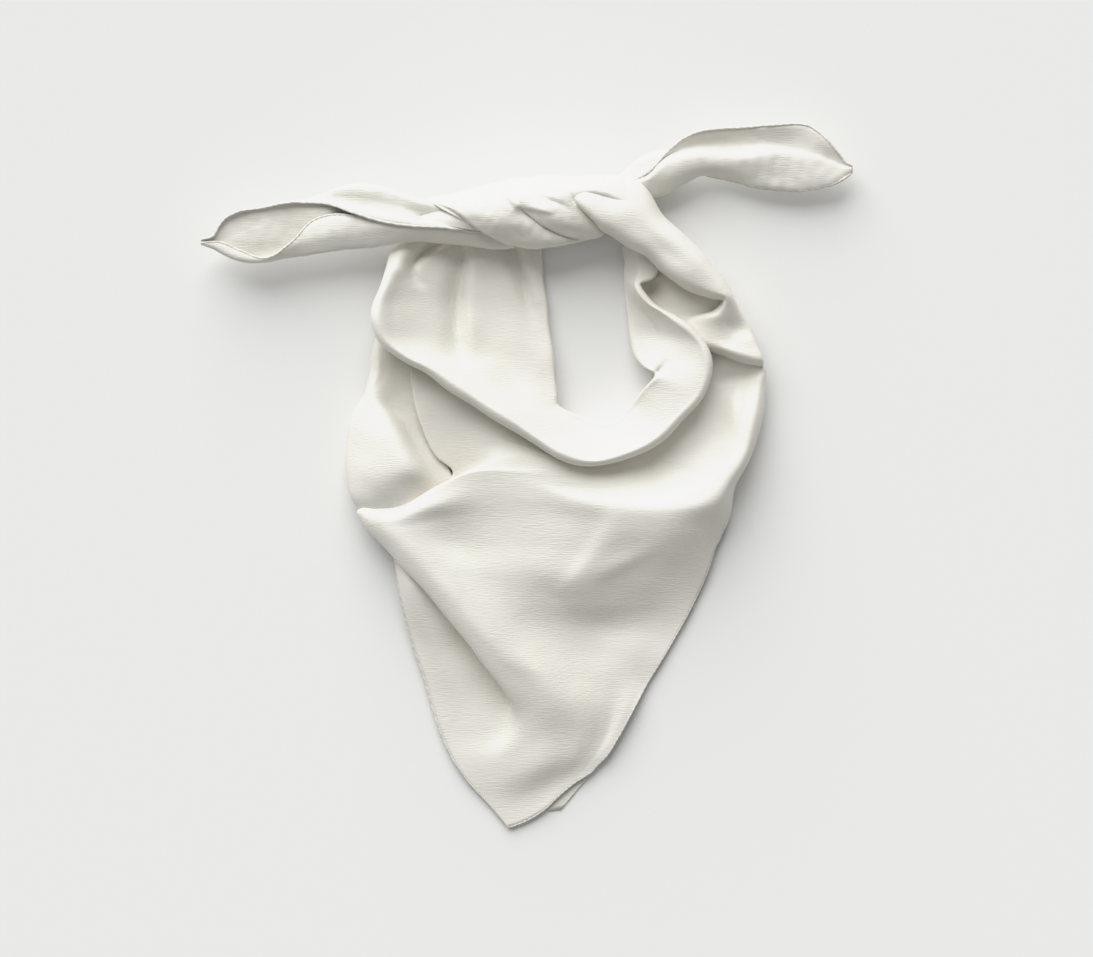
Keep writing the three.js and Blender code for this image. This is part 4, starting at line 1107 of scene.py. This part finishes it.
# Each row crosses the left tail from its back hem, over the back edge and through the
# channel, round the front edge to the front hem.
LEFT_TAIL_ROWS = {
    -161.6: ((117, 20.6), (117.4, 20), (116.2, 19.4), (115, 20), (115.2, 20.4), (115.4, 20.6)),
    -156: ((118.8, 20), (119, 19), (116.2, 17.8), (113.2, 18.4), (114.2, 19.6), (116, 19.4)),
    -151: ((126, 19), (126.1, 17.8), (118, 16.8), (110, 17.4), (111.4, 19.4), (115.6, 18.8)),
    -143: ((131, 18.9), (131.2, 17.6), (119, 16.6), (107, 16.8), (108.2, 19.4), (112, 18.8)),
    -130: ((133.5, 19), (133.8, 17.6), (121, 16.4), (106.8, 16), (107.3, 18.8), (108, 19)),
    -117: ((135.3, 19.6), (135.9, 17.8), (123, 16.2), (109, 16), (113.6, 20), (115.6, 20.4)),
    -108: ((135.6, 20.4), (137.4, 18.4), (124.5, 17.4), (110, 17), (117, 20.6), (126, 19.8, 1)),
    -98: ((134.6, 21.8), (141.6, 18.8), (127, 18.2), (111.4, 17.4), (119.2, 21.6), (129, 20, -1)),
    -85: ((130, 24.6), (144.5, 18.8), (128, 14), (113, 17.8), (121.4, 22.6), (129, 21.6, -2)),
    -70: ((125.4, 26), (143, 19), (128, 14), (114.5, 18.4), (122.4, 24), (124.8, 24)),
    -57: ((123.6, 25.8), (138.4, 19), (128, 13), (116.4, 18.6), (122.4, 24.2), (123.2, 24.2)),
    -44: ((123, 25), (135, 18.4), (126, 12.4), (116, 16.4), (122, 23.2), (122.6, 23.2)),
    -31: ((122, 23), (129.8, 17.8), (122, 11), (114.8, 15), (121.2, 21.4), (121.7, 21.4)),
    -18: ((120.2, 19), (124.8, 16), (119.5, 11), (112.9, 13), (119, 17.6), (119.5, 17.6)),
    -6: ((118, 15.6), (121.5, 14), (118, 11), (113.8, 11.5), (117, 14.6), (117.4, 14.6)),
}
# Each row crosses the right tail from its lower hem, over the fold in front, to its upper hem.
RIGHT_TAIL_ROWS = {
    44: ((148.4, 6), (142, 8), (144, 10), (146, 10.6), (147, 10), (147.6, 9.4)),
    52: ((155.6, 5.6), (141.5, 9), (144, 12), (146, 13.6), (146.6, 12.4), (147, 12)),
    60: ((160.6, 5.4), (138.6, 10.4), (143, 15), (147.6, 17), (149.6, 14.4), (151, 15)),
    70: ((162.5, 6), (140.2, 10), (147, 17), (156, 18), (159, 13.4), (161, 15)),
    86: ((151, 8.4), (149.2, 10.2), (152.5, 16), (160, 17), (164.5, 11), (171.4, 15)),
    106: ((146, 9), (146.8, 11), (150, 14), (158.5, 15.6), (164, 10.4), (173, 14)),
    124: ((142.7, 9.2), (143.5, 10.6), (148, 12), (160, 13.4), (165, 10.8), (174.6, 13.6)),
    140: ((142.5, 10.2), (143.3, 11), (148, 12), (158, 12.8), (162, 11.6), (174, 13.6)),
    151: ((144.9, 11.2), (145.8, 11.8), (149, 12.5), (155, 13), (158, 12), (165.4, 13.6)),
    158: ((148.2, 11.8), (149.2, 12), (150.5, 12.6), (152.6, 13), (154.4, 12.6), (156.2, 13)),
    162: ((151.5, 11.6), (151.7, 12), (152.4, 12.6), (153, 12.8), (153.6, 12.7), (154, 12.8)),
}


@dataclass
class LeftTail(Cloth):
    """The left tail, a rolled channel that opens towards its tip."""

    creases: tuple[Crease, ...] = (
        Crease(((-104, 138, 0), (-90, 136, -2.8), (-76, 134, -3.6), (-62, 131.8, -3.4), (-48, 129.4, -2.6),
            (-34, 126.4, 0)), 3.8, 3),
        Crease(((-62, 131.4, 0), (-52, 129.4, -5), (-42, 127.6, -7), (-34, 126, -6), (-27, 124, 0)), 2, 1.6),
    )
    ripples: tuple[Ripple, ...] = (Ripple(18, 0.3, 61, (1.6, 1.0)), Ripple(7, 0.08, 62))

    def build(self) -> None:
        """Build the tail and its two hems."""
        drape = self.fold(tail_sections(LEFT_TAIL_ROWS))
        hem = Hem(radius=0.7)
        hems = [
            hem.along("left_tail_back_hem", drape.grid[:, 0]),
            hem.along("left_tail_front_hem", drape.grid[:, -1]),
        ]
        self.finish_piece("left_tail", drape, Held.FOLDED, ["knot_core"], hems=hems)


@dataclass
class RightTail(Cloth):
    """The right tail, a flat leaf whose lower flap folds over its inner face."""

    ripples: tuple[Ripple, ...] = (Ripple(18, 0.3, 71, (1.6, 1.0)), Ripple(7, 0.08, 72))

    def build(self) -> None:
        """Build the tail and its two hems, the lower one without the third that the knot hides."""
        drape = self.fold(tail_sections(RIGHT_TAIL_ROWS))
        hem = Hem(radius=0.75)
        hidden = len(drape.grid) // 3
        hems = [
            hem.along("right_tail_lower_hem", drape.grid[hidden:, 0]),
            hem.along("right_tail_upper_hem", drape.grid[:, -1]),
        ]
        self.finish_piece("right_tail", drape, Held.FOLDED, ["right_band"], hems=hems)


@dataclass
class Studio:
    """A pale sweep, a soft light from beyond the knot, and a camera straight above."""

    floor_side: float = 6.0
    floor_drop: float = 0.15
    camera_height: float = 2.4
    view_centre: tuple[float, float] = (0.00975, -0.00125)
    view_width: float = 0.5465
    light_from: Place = (-0.27, 0.96, 0.59)
    light_spread: float = 62.0
    light_strength: float = 4.2
    fill_colour: str = "#FFFFFF"
    fill_strength: float = 0.30
    tone_curve: tuple[tuple[float, float], ...] = (
        (0.78, 0.78), (0.88, 0.862), (1.1, 0.905), (1.7, 0.945), (2.5, 0.96))
    finish: PaperSweep = PaperSweep()

    def lay_floor(self) -> None:
        """Lay the paper sweep, a hair below the cloth."""
        half = self.floor_side / 2 / MM
        sides = np.array([(-1, -1), (1, -1), (1, 1), (-1, 1)]) * half
        places = np.column_stack([sides, np.full(4, -self.floor_drop)])
        floor = new_piece("floor", places, np.array([[0, 1, 2, 3]]))
        floor.data.materials.append(self.finish.material())

    def set_light(self) -> None:
        """Hang the key light and the fill, and soften the brightest tones with a curve."""
        scene = bpy.context.scene
        view = scene.view_settings
        view.view_transform = "Standard"
        view.use_curve_mapping = True
        view.curve_mapping.clip_max_x = self.tone_curve[-1][0]
        all_colours = 3
        brightness = view.curve_mapping.curves[all_colours]
        brightness.points[1].location = self.tone_curve[-1]
        for place in self.tone_curve[:-1]:
            brightness.points.new(*place)
        view.curve_mapping.update()
        scene.world = bpy.data.worlds.new("soft_fill")
        scene.world.use_nodes = True
        background = scene.world.node_tree.nodes["Background"]
        background.inputs["Color"].default_value = linear(self.fill_colour)
        background.inputs["Strength"].default_value = self.fill_strength
        lamp = bpy.data.lights.new("key_light", "SUN")
        lamp.energy = self.light_strength
        lamp.angle = math.radians(self.light_spread)
        light = bpy.data.objects.new("key_light", lamp)
        light.rotation_euler = Vector(self.light_from).to_track_quat("Z", "Y").to_euler()
        scene.collection.objects.link(light)

    def place_camera(self) -> None:
        """Place the camera straight above."""
        scene = bpy.context.scene
        lens = bpy.data.cameras.new("camera")
        lens.angle = 2 * math.atan(self.view_width / 2 / self.camera_height)
        camera = bpy.data.objects.new("camera", lens)
        camera.location = (*self.view_centre, self.camera_height)
        scene.collection.objects.link(camera)
        scene.camera = camera

    def build(self) -> None:
        """Build the floor, the lights and the camera."""
        self.lay_floor()
        self.set_light()
        self.place_camera()
        LOG.info("studio: floor, key light, fill and camera")


def corners(box: tuple[Vector, Vector]) -> list[list[float]]:
    """A box's two corners as plain lists."""
    return [list(corner) for corner in box]


def main() -> None:
    """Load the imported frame, then build the studio and the neckerchief's pieces in order."""
    logging.basicConfig(level=logging.INFO, format="%(name)s: %(message)s")
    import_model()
    Studio().build()
    makers = (BibBack, BibFront, SideLobe, NeckCloth, RightBand, Knot, LeftTail, RightTail)
    for maker in makers:
        maker().build()


if __name__ == "__main__":
    main()
